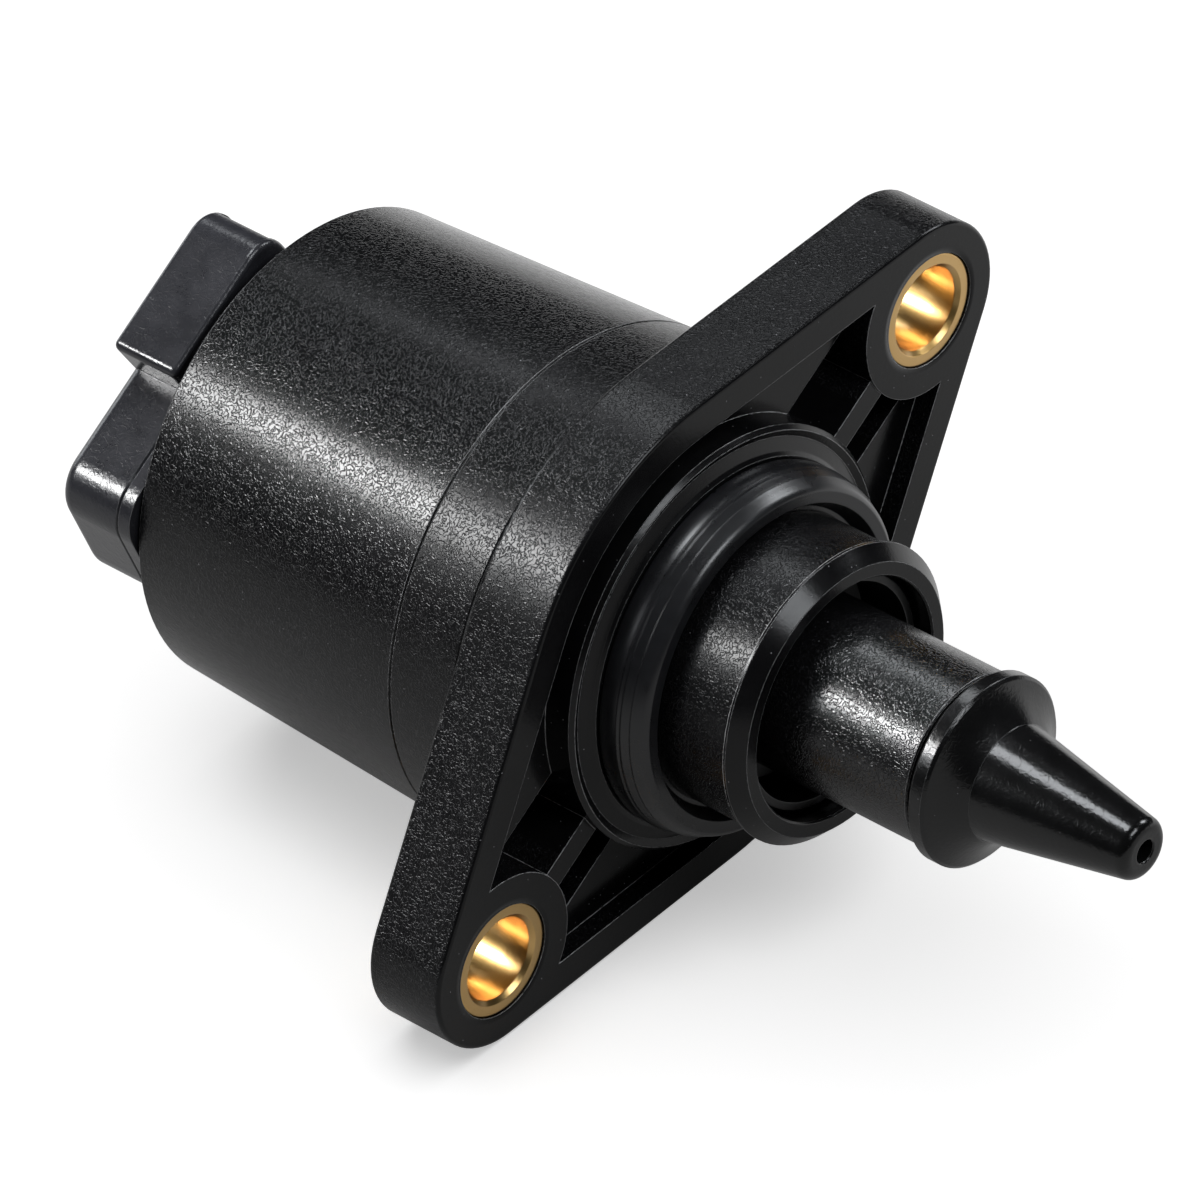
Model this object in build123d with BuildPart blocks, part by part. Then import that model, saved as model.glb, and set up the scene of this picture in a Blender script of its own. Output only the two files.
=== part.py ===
"""Idle air control valve: a two-bolt flanged stepper valve with a sliding pintle.

Frame: the origin is on the valve axis in the flange's front (mounting) face, +X runs along
the axis toward the pintle, +Z is up with one straight side of the flange lying flat.
Millimetres throughout. The nose tube's radius drives the seal, the collar, the case and the
bolt spacing; the travel drives the bores behind the nose and the length of the motor. The
case is drafted toward the rear and sits a little off the axis, toward the lower ear.
"""
import os
from math import asin, cos, degrees, radians, sin, sqrt

from build123d import *

os.makedirs("parts", exist_ok=True)

# Nose tube and its lip
R_TUBE = 9.95
TUBE_WALL = 1.55
LIP_STEP = 0.41
LIP_L = 0.2
LIP_BEVEL = 1.0
LIP_DROP = 0.94
X_NOSE = 10.83
MOUTH_EDGE = 0.12

# Rubber seal and the collar that it sits against
SEAL_W = 2.67
SEAL_L = 3.6
SEAL_ROUND = 0.35
SEAL_DRAFT = 0.05
SEAL_CROWN = 1.2
SEAL_BEVEL = 1.15
SEAL_DIP = 0.22
SEAL_SLOPE = 0.55
SEAL_FRONT = 0.95
SEAL_GAP_L = 1.1
X_SEAT = 1.05
SEAT_GAP = 0.05
SEAT_STEP = 0.2
COLLAR_W = 1.98
X_COLLAR = 0.75
COLLAR_EDGE = 0.3
COLLAR_DISH = 0.25
COLLAR_RIM = 0.8

# Brass bushes
R_BUSH_BORE = 2.9
BUSH_WALL = 1.07
BUSH_DROP = 0.12
BUSH_CHAMFER = 0.3
BUSH_EDGE = 0.15

# Flange
EAR_WALL = 2.13
BOLT_CLEAR = 7.45
FLANGE_T = 5.9
RIM_W = 2.5
RIM_GAP = 1.3
RIB_W = 1.8
RIB_DROP = 0.2
POCKET_DEEP = 4.4
POCKET_SHALLOW = 1.5
POCKET_HALF = 4.9
EDGE_R = 0.3

# Case and band: both taper toward the rear and sit toward the lower ear
CASE_LEDGE = 0.85
BAND_DRAFT = 0.28
CASE_DRAFT = 1.1
CASE_SHIFT = 0.8
CASE_WALL = 0.95
CASE_EDGE = 0.2
SEAM_V = 0.12
CORE_DEEP = 3.4
CORE_WALL = 1.5
SPIGOT_L = 1.6
SPIGOT_W = 1.2

# Plunger, at the pose in the photo
R_SLEEVE = 6.05
SLEEVE_WALL = 1.35
SLEEVE_EDGE = 0.3
X_SLEEVE_REAR = 1.2
X_SLEEVE_END = 21.1
END_EDGE = 0.12
SHANK_L = 6.0
GROOVE_L = 0.52
GROOVE_D = 0.35
DISC_STEP = 0.5
DISC_T = 1.22
DISC_EDGE = 0.12
DISC_BEVEL = 0.2
R_CONE = 4.0
SHOULDER_L = 1.64
SHOULDER_SAG = 0.12
CONE_L = 11.1
R_TIP = 2.05
TIP_ROUND = 0.8
R_TIP_HOLE = 0.78
TIP_HOLE_L = 3.0
TIP_HOLE_EDGE = 0.1
DRILL_POINT = 0.4
TRAVEL_BACK = 7.0
RUN = 0.08

# Guide ring and its two keys
X_GUIDE = 2.0
GUIDE_L = 7.5
GUIDE_LAND = 3.0
GUIDE_SLOPE = 0.6
GUIDE_WALL = 0.84
GUIDE_EDGE = 0.32
KEY_W = 1.5
KEY_H = 0.8
KEY_SINK = 0.1
KEY_RUN = 0.1
KEY_START = -35.0
KEY_SWEEP = -110.0

# Lead screw, nut and rotor
R_SCREW = 2.5
SCREW_RUN = 0.05
SCREW_SEAT = 4.8
SCREW_TAIL = 1.0
SCREW_EDGE = 0.5
SCREW_ROOM = 0.4
NUT_WALL = 1.1
NUT_L = 10.0
NUT_DROP = 0.4
NUT_EDGE = 0.3
JOURNAL_WALL = 0.9
R_JOURNAL_R = 2.5
JOURNAL_RUN = 0.04
JOURNAL_DROP = 0.1
JOURNAL_ROOM = 0.7
HUB_STEP = 1.1
HUB_FLOOR = 2.3
MAGNET_W = 2.6
MAGNET_INSET = 0.4
MAGNET_EDGE = 0.3
AIR_GAP = 0.3
END_PLAY = 0.3

# Plain bearings
BEARING_F_WALL = 2.5
L_BEARING_F = 4.5
BEARING_R_WALL = 2.1
L_BEARING_R = 3.0
BEARING_EDGE = 0.25
BEARING_LEDGE = 0.4
BEARING_BACK = 0.4
BACK_RUN = 0.7
BACK_ROOM = 0.4

# Stator
STATOR_W = 5.4
STACK_L = 8.8
CUP_T = 1.0
CUP_WALL = 0.9
CLAW_T = 0.9
CLAW_COUNT = 6
CLAW_BASE = 28.0
CLAW_TIP = 16.0
CLAW_GAP = 0.6
CLAW_CLEAR = 0.1
BOBBIN_T = 0.6
COIL_ROOM = 0.5

# Rear cover
COVER_WALL = 1.3
COVER_RIM = 1.0
BOSS_WALL = 1.4
BOSS_STEP = 0.6
PAD_T = 1.1

# Connector
BLOCK_T = 5.1
BLOCK_V = 0.12
ROOT_INSET = 0.8
ROOT_L = 11.4
ROOT_W = 10.6
ROOT_SLANT = 2.0
ROOT_R = 3.0
ROOT_EDGE = 1.0
ROOT_SINK = 2.0
HOOD_SET = 7.23
HOOD_STEP = 3.0
HOOD_L = 11.4
HOOD_W = 16.6
HOOD_H = 5.4
HOOD_WALL = 0.6
HOOD_SIDE = 1.2
HOOD_R = 2.3
HOOD_BACK_R = 0.5
HOOD_EDGE = 0.4
SOCKET_OUT = 1.0
TIE_U = 3.6
TIE_V = 4.0
TIE_L = 3.1
TIE_W = 6.0
TIE_SINK = 0.3
PIN_W = 0.8
PIN_PITCH = 3.0
PIN_CLEAR = 0.4
PIN_REACH_L = 5.5
PIN_TAIL_L = 0.5
PIN_EDGE = 0.2

# Radii that follow from the tube, the case and the screw
R_LIP = R_TUBE + LIP_STEP
R_LIP_FRONT = R_LIP - LIP_DROP
R_BORE = R_TUBE - TUBE_WALL
R_SEAL = R_TUBE + SEAL_W
R_COLLAR = R_SEAL + COLLAR_W
R_MID = R_COLLAR + RIM_GAP + RIM_W
R_CASE = R_MID - CASE_LEDGE
R_BAND = R_CASE + BAND_DRAFT
R_CASE_REAR = R_CASE - CASE_DRAFT
R_CASE_IN = R_CASE_REAR - CASE_SHIFT - CASE_WALL
R_BUSH = R_BUSH_BORE + BUSH_WALL
R_EAR = R_BUSH + EAR_WALL
BOLT_SPACING = 2 * (R_CASE + BOLT_CLEAR)
R_SLEEVE_IN = R_SLEEVE - SLEEVE_WALL
R_DISC = R_SLEEVE + DISC_STEP
R_GUIDE_IN = R_SLEEVE + RUN
R_GUIDE_MOUTH = R_BORE - GUIDE_WALL
R_KEY = (R_GUIDE_IN + KEY_SINK + R_SLEEVE - KEY_H) / 2
R_BACK_BORE = R_SLEEVE + BACK_RUN
R_NUT = R_SCREW + NUT_WALL
R_JOURNAL_F = R_NUT + JOURNAL_WALL
R_HUB = R_JOURNAL_F + HUB_STEP
R_POLE = R_CASE_IN - STATOR_W
R_MAGNET = R_POLE - AIR_GAP
R_DRUM = R_MAGNET - MAGNET_W
R_BOBBIN = R_POLE + CLAW_T + CLAW_CLEAR
R_COIL = R_CASE_IN - CUP_WALL - COIL_ROOM
R_BEARING_F = R_JOURNAL_F + BEARING_F_WALL
R_BEARING_R = R_JOURNAL_R + BEARING_R_WALL

# The valve lies on one straight side of its flange, which sets the tilt of the bolt line
ALPHA = degrees(asin((R_MID - R_EAR) / (BOLT_SPACING / 2)))
COS_A = cos(radians(ALPHA))
SIN_A = sin(radians(ALPHA))

# The case's own axis, beside the valve axis, and the half plane that its outline is drawn in
CASE_CENTRE = (0, -CASE_SHIFT * COS_A, -CASE_SHIFT * SIN_A)
CASE_AXIS = Axis(CASE_CENTRE, (1, 0, 0))
CASE_PLANE = Plane(origin=CASE_CENTRE, x_dir=(1, 0, 0), z_dir=(0, 0, 1))

# Stations along the axis
X_SEAL = X_SEAT + SEAL_L
X_LIP = X_NOSE - LIP_BEVEL - LIP_L
X_GUIDE_FRONT = X_GUIDE + GUIDE_L
X_LAND = X_GUIDE + GUIDE_LAND
X_DISC = X_SLEEVE_END + GROOVE_L
X_DISC_FRONT = X_DISC + DISC_T
X_CONE = X_DISC_FRONT + SHOULDER_L
X_TIP = X_CONE + CONE_L
X_BACK_BORE = X_SLEEVE_REAR - TRAVEL_BACK - BACK_ROOM
X_BEARING_F = X_BACK_BORE - BEARING_LEDGE
X_SEAM = X_BEARING_F - L_BEARING_F - BEARING_BACK
X_STATOR = X_SEAM - SPIGOT_L
X_STATOR_REAR = X_STATOR - 2 * STACK_L
X_SCREW_FRONT = X_SLEEVE_REAR + SCREW_SEAT
X_NUT_FRONT = X_BEARING_F - NUT_DROP
X_NUT_REAR = X_NUT_FRONT - NUT_L
X_SCREW_REAR = X_NUT_REAR - SCREW_TAIL
X_HUB_FRONT = X_BEARING_F - L_BEARING_F - END_PLAY
X_BEARING_R = X_STATOR_REAR + BOSS_STEP
X_HUB_REAR = X_BEARING_R + END_PLAY
X_DRUM_REAR = X_HUB_REAR + MAGNET_INSET
X_DRUM_FRONT = X_STATOR - MAGNET_INSET
X_PLUG = X_STATOR_REAR - COVER_RIM
X_CASE_REAR = X_BEARING_R - L_BEARING_R - COVER_WALL
X_BLOCK_SEAM = X_CASE_REAR - PAD_T
X_BLOCK_REAR = X_BLOCK_SEAM - BLOCK_T
X_PIN = X_BLOCK_REAR + HOOD_H / 2

# Connector outline across the axis: u toward the upper ear, v square to it
HOOD_MID_V = R_CASE_IN - HOOD_SET
HOOD_V0 = HOOD_MID_V - HOOD_W / 2
HOOD_V1 = HOOD_MID_V + HOOD_W / 2
ROOT_V1 = HOOD_V1 - HOOD_STEP
ROOT_V0 = ROOT_V1 - ROOT_W
ROOT_U_LOW = ROOT_INSET - R_CASE_REAR
ROOT_U_TOP = ROOT_U_LOW + ROOT_SLANT
HOOD_U0 = ROOT_U_LOW + ROOT_L
HOOD_U1 = HOOD_U0 + HOOD_L
PIN_TIP_U = HOOD_U0 + PIN_REACH_L

# The outer pin's corner keeps clear of the case's bore
PIN_TOP_V = HOOD_MID_V + 1.5 * PIN_PITCH + PIN_W / 2
PIN_U = PIN_W / 2 - sqrt((R_CASE_IN - PIN_CLEAR) ** 2 - PIN_TOP_V**2)


def station(x):
    """Plane across the axis at x: local x runs toward the upper ear, local y across it."""
    return Plane(origin=(x, 0, 0), x_dir=(0, COS_A, SIN_A), z_dir=(1, 0, 0))


# Flange body: hull of two ears and a round middle, pocketed from the front, then turned parts
with BuildPart() as flange_body:
    with BuildSketch(station(-FLANGE_T)):
        with Locations((BOLT_SPACING / 2, 0), (-BOLT_SPACING / 2, 0)):
            Circle(R_EAR)
        Circle(R_MID)
        make_hull()
    extrude(amount=FLANGE_T)
    fillet(flange_body.faces().sort_by(Axis.X)[-1].edges(), radius=EDGE_R)
    fillet(flange_body.faces().sort_by(Axis.X)[0].edges(), radius=EDGE_R)
    # shallow pocket all round the collar
    with BuildSketch(station(0)):
        with Locations((BOLT_SPACING / 2, 0), (-BOLT_SPACING / 2, 0)):
            Circle(R_EAR - RIM_W)
        Circle(R_MID - RIM_W)
        make_hull()
        with Locations((BOLT_SPACING / 2, 0), (-BOLT_SPACING / 2, 0)):
            Circle(R_EAR, mode=Mode.SUBTRACT)
        Circle(R_COLLAR, mode=Mode.SUBTRACT)
        Rectangle(BOLT_SPACING, RIB_W, mode=Mode.SUBTRACT)
    extrude(amount=-POCKET_SHALLOW, mode=Mode.SUBTRACT)
    # deep pockets beside the ribs
    with BuildSketch(station(0)):
        with Locations((BOLT_SPACING / 2, 0), (-BOLT_SPACING / 2, 0)):
            Circle(R_EAR - RIM_W)
        Circle(R_MID - RIM_W)
        make_hull()
        with Locations((BOLT_SPACING / 2, 0), (-BOLT_SPACING / 2, 0)):
            Circle(R_EAR, mode=Mode.SUBTRACT)
        Circle(R_COLLAR, mode=Mode.SUBTRACT)
        Rectangle(BOLT_SPACING, RIB_W, mode=Mode.SUBTRACT)
        Rectangle(BOLT_SPACING, 2 * POCKET_HALF, mode=Mode.INTERSECT)
    extrude(amount=-POCKET_DEEP, mode=Mode.SUBTRACT)
    # the ribs stand a little below the face
    with BuildSketch(station(0)):
        Rectangle(BOLT_SPACING, RIB_W)
        with Locations((BOLT_SPACING / 2, 0), (-BOLT_SPACING / 2, 0)):
            Circle(R_EAR, mode=Mode.SUBTRACT)
        Circle(R_COLLAR, mode=Mode.SUBTRACT)
    extrude(amount=-RIB_DROP, mode=Mode.SUBTRACT)
    # band behind the flange, turned about the case's axis
    with BuildSketch(CASE_PLANE):
        with BuildLine():
            Polyline(
                (X_SEAM, 0),
                (X_SEAM, R_CASE - SEAM_V),
                (X_SEAM + SEAM_V, R_CASE),
                (-FLANGE_T, R_BAND),
                (-FLANGE_T, 0),
                close=True,
            )
        make_face()
    revolve(axis=CASE_AXIS)
    # spigot, collar, nose tube and lip, turned about the valve axis
    with BuildSketch(Plane.XY):
        with BuildLine():
            Polyline(
                (X_STATOR, 0),
                (X_STATOR, R_CASE_IN),
                (-FLANGE_T, R_CASE_IN),
                (-FLANGE_T, R_COLLAR),
                (X_COLLAR - COLLAR_EDGE, R_COLLAR),
                (X_COLLAR, R_COLLAR - COLLAR_EDGE),
                (X_COLLAR - COLLAR_DISH, R_COLLAR - COLLAR_RIM),
                (X_SEAT - SEAT_STEP, R_SEAL + COLLAR_EDGE),
                (X_SEAT, R_SEAL + SEAT_GAP),
                (X_SEAT, R_TUBE),
                (X_LIP, R_TUBE),
                (X_LIP, R_LIP),
                (X_NOSE - LIP_BEVEL, R_LIP),
                (X_NOSE, R_LIP_FRONT),
                (X_NOSE, 0),
                close=True,
            )
        make_face()
    revolve(axis=Axis.X)
    # stepped bore from the nose back to the bearing seat
    with BuildSketch(Plane.XY):
        with BuildLine():
            Polyline(
                (X_NOSE, 0),
                (X_NOSE, R_BORE + MOUTH_EDGE),
                (X_NOSE - MOUTH_EDGE, R_BORE),
                (X_GUIDE, R_BORE),
                (X_GUIDE, R_BACK_BORE),
                (X_BACK_BORE, R_BACK_BORE),
                (X_BACK_BORE, R_JOURNAL_F + JOURNAL_ROOM),
                (X_BEARING_F, R_JOURNAL_F + JOURNAL_ROOM),
                (X_BEARING_F, R_BEARING_F),
                (X_STATOR, R_BEARING_F),
                (X_STATOR, 0),
                close=True,
            )
        make_face()
    revolve(axis=Axis.X, mode=Mode.SUBTRACT)
    # core-out behind the band, leaving the bearing hub and the spigot that enters the case
    with BuildSketch(Plane.XY):
        with BuildLine():
            Polyline(
                (X_STATOR, R_BEARING_F),
                (X_STATOR, R_CASE_IN - SPIGOT_W),
                (X_SEAM + CORE_DEEP, R_CASE_IN - SPIGOT_W),
                (X_SEAM + CORE_DEEP, R_BEARING_F + CORE_WALL),
                (X_SEAM + BEARING_BACK, R_BEARING_F + CORE_WALL),
                (X_SEAM + BEARING_BACK, R_BEARING_F),
                close=True,
            )
        make_face()
    revolve(axis=Axis.X, mode=Mode.SUBTRACT)
    # seats for the two bushes
    with BuildSketch(station(-FLANGE_T)):
        with Locations((BOLT_SPACING / 2, 0), (-BOLT_SPACING / 2, 0)):
            Circle(R_BUSH)
    extrude(amount=FLANGE_T, mode=Mode.SUBTRACT)
flange_body.part.label = "flange_body"
export_step(flange_body.part, "parts/flange_body.step")

# Brass bushes
with BuildPart() as bush_upper:
    with BuildSketch(station(-FLANGE_T)):
        with Locations((BOLT_SPACING / 2, 0)):
            Circle(R_BUSH)
            Circle(R_BUSH_BORE, mode=Mode.SUBTRACT)
    extrude(amount=FLANGE_T - BUSH_DROP)
    rims = bush_upper.edges().filter_by(GeomType.CIRCLE)
    chamfer(rims.filter_by(lambda e: e.radius < R_BUSH - BUSH_WALL / 2), length=BUSH_CHAMFER)
    fillet(bush_upper.faces().sort_by(Axis.X)[-1].outer_wire().edges(), radius=BUSH_EDGE)
bush_upper.part.label = "bush_upper"
export_step(bush_upper.part, "parts/bush_upper.step")

with BuildPart() as bush_lower:
    add(bush_upper.part.rotate(Axis.X, 180))
bush_lower.part.label = "bush_lower"
export_step(bush_lower.part, "parts/bush_lower.step")

# Rubber seal seated against the collar
with BuildPart() as seal_ring:
    with BuildSketch(Plane.XY):
        with BuildLine():
            Polyline(
                (X_SEAT, R_TUBE),
                (X_SEAT, R_SEAL - SEAL_ROUND),
                (X_SEAT + SEAL_ROUND, R_SEAL - SEAL_DRAFT),
                (X_SEAT + SEAL_CROWN, R_SEAL),
                (X_SEAL - SEAL_BEVEL, R_SEAL - SEAL_DIP),
                (X_SEAL - SEAL_ROUND, R_SEAL - SEAL_SLOPE),
                (X_SEAL, R_SEAL - SEAL_FRONT),
                (X_SEAL, R_TUBE + SEAL_FRONT),
                (X_SEAL - SEAL_GAP_L, R_TUBE + SEAL_ROUND),
                (X_SEAL - SEAL_GAP_L, R_TUBE),
                close=True,
            )
        make_face()
    revolve(axis=Axis.X)
seal_ring.part.label = "seal_ring"
export_step(seal_ring.part, "parts/seal_ring.step")

# Guide ring in the nose: keeps the sleeve straight, two keys stop it turning
with BuildPart() as guide_ring:
    with BuildSketch(Plane.XY):
        with BuildLine():
            Polyline(
                (X_GUIDE, R_GUIDE_IN),
                (X_GUIDE, R_BORE),
                (X_GUIDE_FRONT - GUIDE_EDGE, R_BORE),
                (X_GUIDE_FRONT, R_BORE - GUIDE_EDGE),
                (X_GUIDE_FRONT, R_GUIDE_MOUTH),
                (X_LAND + GUIDE_SLOPE, R_GUIDE_MOUTH),
                (X_LAND, R_GUIDE_IN),
                close=True,
            )
        make_face()
    revolve(axis=Axis.X)
    with BuildSketch(station(X_GUIDE)):
        with PolarLocations(R_KEY, 2, start_angle=KEY_START, angular_range=KEY_SWEEP):
            Rectangle(R_GUIDE_IN + KEY_SINK - R_SLEEVE + KEY_H, KEY_W)
    extrude(amount=GUIDE_LAND)
guide_ring.part.label = "guide_ring"
export_step(guide_ring.part, "parts/guide_ring.step")

# Motor case: drafted outside, bored straight along the valve axis
with BuildPart() as motor_case:
    with BuildSketch(CASE_PLANE):
        with BuildLine():
            Polyline(
                (X_SEAM, 0),
                (X_SEAM, R_CASE - SEAM_V),
                (X_SEAM - SEAM_V, R_CASE),
                (X_CASE_REAR + CASE_EDGE, R_CASE_REAR),
                (X_CASE_REAR, R_CASE_REAR - CASE_EDGE),
                (X_CASE_REAR, 0),
                close=True,
            )
        make_face()
    revolve(axis=CASE_AXIS)
    with BuildSketch(station(X_CASE_REAR)):
        Circle(R_CASE_IN)
    extrude(amount=X_SEAM - X_CASE_REAR, mode=Mode.SUBTRACT)
motor_case.part.label = "motor_case"
export_step(motor_case.part, "parts/motor_case.step")

# Terminals: bent pins, one row across the hood
with BuildPart() as terminal_1:
    with BuildSketch(station(X_PIN - PIN_W / 2)):
        with Locations((PIN_U, HOOD_MID_V - 1.5 * PIN_PITCH)):
            Rectangle(PIN_W, PIN_W)
    extrude(amount=X_PLUG + PIN_TAIL_L - X_PIN + PIN_W / 2)
    with BuildSketch(station(X_PIN - PIN_W / 2)):
        with Locations(((PIN_U - PIN_W / 2 + PIN_TIP_U) / 2, HOOD_MID_V - 1.5 * PIN_PITCH)):
            Rectangle(PIN_TIP_U - PIN_U + PIN_W / 2, PIN_W)
    extrude(amount=PIN_W)
    chamfer(terminal_1.faces().sort_by(Axis((0, 0, 0), (0, COS_A, SIN_A)))[-1].edges(), length=PIN_EDGE)
terminal_1.part.label = "terminal_1"
export_step(terminal_1.part, "parts/terminal_1.step")

with BuildPart() as terminal_2:
    add(terminal_1.part.moved(Location((0, -SIN_A * PIN_PITCH, COS_A * PIN_PITCH))))
terminal_2.part.label = "terminal_2"
export_step(terminal_2.part, "parts/terminal_2.step")

with BuildPart() as terminal_3:
    add(terminal_1.part.moved(Location((0, -SIN_A * 2 * PIN_PITCH, COS_A * 2 * PIN_PITCH))))
terminal_3.part.label = "terminal_3"
export_step(terminal_3.part, "parts/terminal_3.step")

with BuildPart() as terminal_4:
    add(terminal_1.part.moved(Location((0, -SIN_A * 3 * PIN_PITCH, COS_A * 3 * PIN_PITCH))))
terminal_4.part.label = "terminal_4"
export_step(terminal_4.part, "parts/terminal_4.step")

# Rear cover: plug in the case, bearing boss inside, connector pad outside
with BuildPart() as rear_cover:
    with BuildSketch(Plane.XY):
        with BuildLine():
            Polyline(
                (X_CASE_REAR, 0),
                (X_CASE_REAR, R_CASE_IN),
                (X_STATOR_REAR, R_CASE_IN),
                (X_STATOR_REAR, R_CASE_IN - SPIGOT_W),
                (X_PLUG, R_CASE_IN - SPIGOT_W),
                (X_PLUG, R_BEARING_R + BOSS_WALL),
                (X_BEARING_R, R_BEARING_R + BOSS_WALL),
                (X_BEARING_R, R_BEARING_R),
                (X_BEARING_R - L_BEARING_R, R_BEARING_R),
                (X_BEARING_R - L_BEARING_R, 0),
                close=True,
            )
        make_face()
    revolve(axis=Axis.X)
    with BuildSketch(station(X_BLOCK_SEAM)) as pad:
        with BuildLine():
            Polyline(
                (HOOD_U0, ROOT_V0),
                (HOOD_U0, ROOT_V1),
                (ROOT_U_TOP, ROOT_V1),
                (ROOT_U_LOW, ROOT_V0),
                close=True,
            )
        make_face()
        fillet(pad.vertices().sort_by(Axis.X)[:2], radius=ROOT_R)
    extrude(amount=PAD_T)
    chamfer(rear_cover.faces().sort_by(Axis.X)[0].edges(), length=BLOCK_V)
    for pin in (terminal_1, terminal_2, terminal_3, terminal_4):
        add(pin.part, mode=Mode.SUBTRACT)
rear_cover.part.label = "rear_cover"
export_step(rear_cover.part, "parts/rear_cover.step")

# Connector hood, rounded at the mouth's corners
with BuildPart() as hood_block:
    with BuildSketch(station(X_BLOCK_REAR)) as hood:
        with Locations(((HOOD_U0 + HOOD_U1) / 2, HOOD_MID_V)):
            Rectangle(HOOD_L, HOOD_W)
        fillet(hood.vertices().sort_by(Axis.X)[-2:], radius=HOOD_R)
        fillet(hood.vertices().sort_by(Axis.X)[:2], radius=HOOD_BACK_R)
    extrude(amount=HOOD_H)
    fillet(hood_block.faces().sort_by(Axis.X)[-1].edges(), radius=HOOD_EDGE)
    fillet(hood_block.faces().sort_by(Axis.X)[0].edges(), radius=HOOD_EDGE)

# Connector housing: rounded root block and the wider hood, open toward the upper ear
with BuildPart() as connector_housing:
    with BuildSketch(station(X_BLOCK_REAR)) as root:
        with BuildLine():
            Polyline(
                (HOOD_U0 + ROOT_SINK, ROOT_V0),
                (HOOD_U0 + ROOT_SINK, ROOT_V1),
                (ROOT_U_TOP, ROOT_V1),
                (ROOT_U_LOW, ROOT_V0),
                close=True,
            )
        make_face()
        fillet(root.vertices().sort_by(Axis.X)[:2], radius=ROOT_R)
    extrude(amount=BLOCK_T)
    fillet(connector_housing.faces().sort_by(Axis.X)[0].edges(), radius=ROOT_EDGE)
    chamfer(connector_housing.faces().sort_by(Axis.X)[-1].edges(), length=BLOCK_V)
    add(hood_block.part)
    # socket
    with BuildSketch(station(X_BLOCK_REAR + HOOD_WALL)):
        with Locations(((HOOD_U0 + HOOD_SIDE + HOOD_U1 + SOCKET_OUT) / 2, HOOD_MID_V)):
            Rectangle(HOOD_L + SOCKET_OUT - HOOD_SIDE, HOOD_W - 2 * HOOD_SIDE)
    extrude(amount=HOOD_H - 2 * HOOD_WALL, mode=Mode.SUBTRACT)
    # rib that ties the hood to the case
    with BuildSketch(station(X_BLOCK_REAR + HOOD_H - TIE_SINK)):
        with Locations((HOOD_U0 + TIE_U, HOOD_V1 - TIE_V)):
            Rectangle(TIE_L, TIE_W)
    extrude(amount=X_CASE_REAR - X_BLOCK_REAR - HOOD_H + TIE_SINK)
    for pin in (terminal_1, terminal_2, terminal_3, terminal_4):
        add(pin.part, mode=Mode.SUBTRACT)
connector_housing.part.label = "connector_housing"
export_step(connector_housing.part, "parts/connector_housing.step")

# Claw-pole stator: four cups, each a disc with a half-length wall and tapered claws
with BuildPart() as stator_cup_1:
    with BuildSketch(Plane.XY):
        with BuildLine():
            Polyline(
                (X_STATOR, R_POLE),
                (X_STATOR, R_CASE_IN),
                (X_STATOR - STACK_L / 2, R_CASE_IN),
                (X_STATOR - STACK_L / 2, R_CASE_IN - CUP_WALL),
                (X_STATOR - CUP_T, R_CASE_IN - CUP_WALL),
                (X_STATOR - CUP_T, R_POLE),
                close=True,
            )
        make_face()
    revolve(axis=Axis.X)
    for k in range(CLAW_COUNT):
        turn = k * 360 / CLAW_COUNT
        with BuildSketch(station(X_STATOR - CUP_T)):
            with BuildLine():
                a = CenterArc((0, 0), R_POLE, turn - CLAW_BASE / 2, CLAW_BASE)
                b = CenterArc((0, 0), R_POLE + CLAW_T, turn - CLAW_BASE / 2, CLAW_BASE)
                Line(a @ 0, b @ 0)
                Line(a @ 1, b @ 1)
            make_face()
        with BuildSketch(station(X_STATOR - STACK_L + CUP_T + CLAW_GAP)):
            with BuildLine():
                a = CenterArc((0, 0), R_POLE, turn - CLAW_TIP / 2, CLAW_TIP)
                b = CenterArc((0, 0), R_POLE + CLAW_T, turn - CLAW_TIP / 2, CLAW_TIP)
                Line(a @ 0, b @ 0)
                Line(a @ 1, b @ 1)
            make_face()
        loft()
stator_cup_1.part.label = "stator_cup_1"
export_step(stator_cup_1.part, "parts/stator_cup_1.step")

with BuildPart() as stator_cup_2:
    mirror(stator_cup_1.part.rotate(Axis.X, 180 / CLAW_COUNT), about=station(X_STATOR - STACK_L / 2))
stator_cup_2.part.label = "stator_cup_2"
export_step(stator_cup_2.part, "parts/stator_cup_2.step")

with BuildPart() as stator_cup_3:
    add(stator_cup_1.part.rotate(Axis.X, 90 / CLAW_COUNT).moved(Location((-STACK_L, 0, 0))))
stator_cup_3.part.label = "stator_cup_3"
export_step(stator_cup_3.part, "parts/stator_cup_3.step")

with BuildPart() as stator_cup_4:
    add(stator_cup_2.part.rotate(Axis.X, 90 / CLAW_COUNT).moved(Location((-STACK_L, 0, 0))))
stator_cup_4.part.label = "stator_cup_4"
export_step(stator_cup_4.part, "parts/stator_cup_4.step")

# Bobbins and coils
with BuildPart() as bobbin_1:
    with BuildSketch(Plane.XY):
        with BuildLine():
            Polyline(
                (X_STATOR - CUP_T, R_BOBBIN),
                (X_STATOR - CUP_T, R_CASE_IN - CUP_WALL),
                (X_STATOR - CUP_T - BOBBIN_T, R_CASE_IN - CUP_WALL),
                (X_STATOR - CUP_T - BOBBIN_T, R_BOBBIN + BOBBIN_T),
                (X_STATOR - STACK_L + CUP_T + BOBBIN_T, R_BOBBIN + BOBBIN_T),
                (X_STATOR - STACK_L + CUP_T + BOBBIN_T, R_CASE_IN - CUP_WALL),
                (X_STATOR - STACK_L + CUP_T, R_CASE_IN - CUP_WALL),
                (X_STATOR - STACK_L + CUP_T, R_BOBBIN),
                close=True,
            )
        make_face()
    revolve(axis=Axis.X)
bobbin_1.part.label = "bobbin_1"
export_step(bobbin_1.part, "parts/bobbin_1.step")

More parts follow.
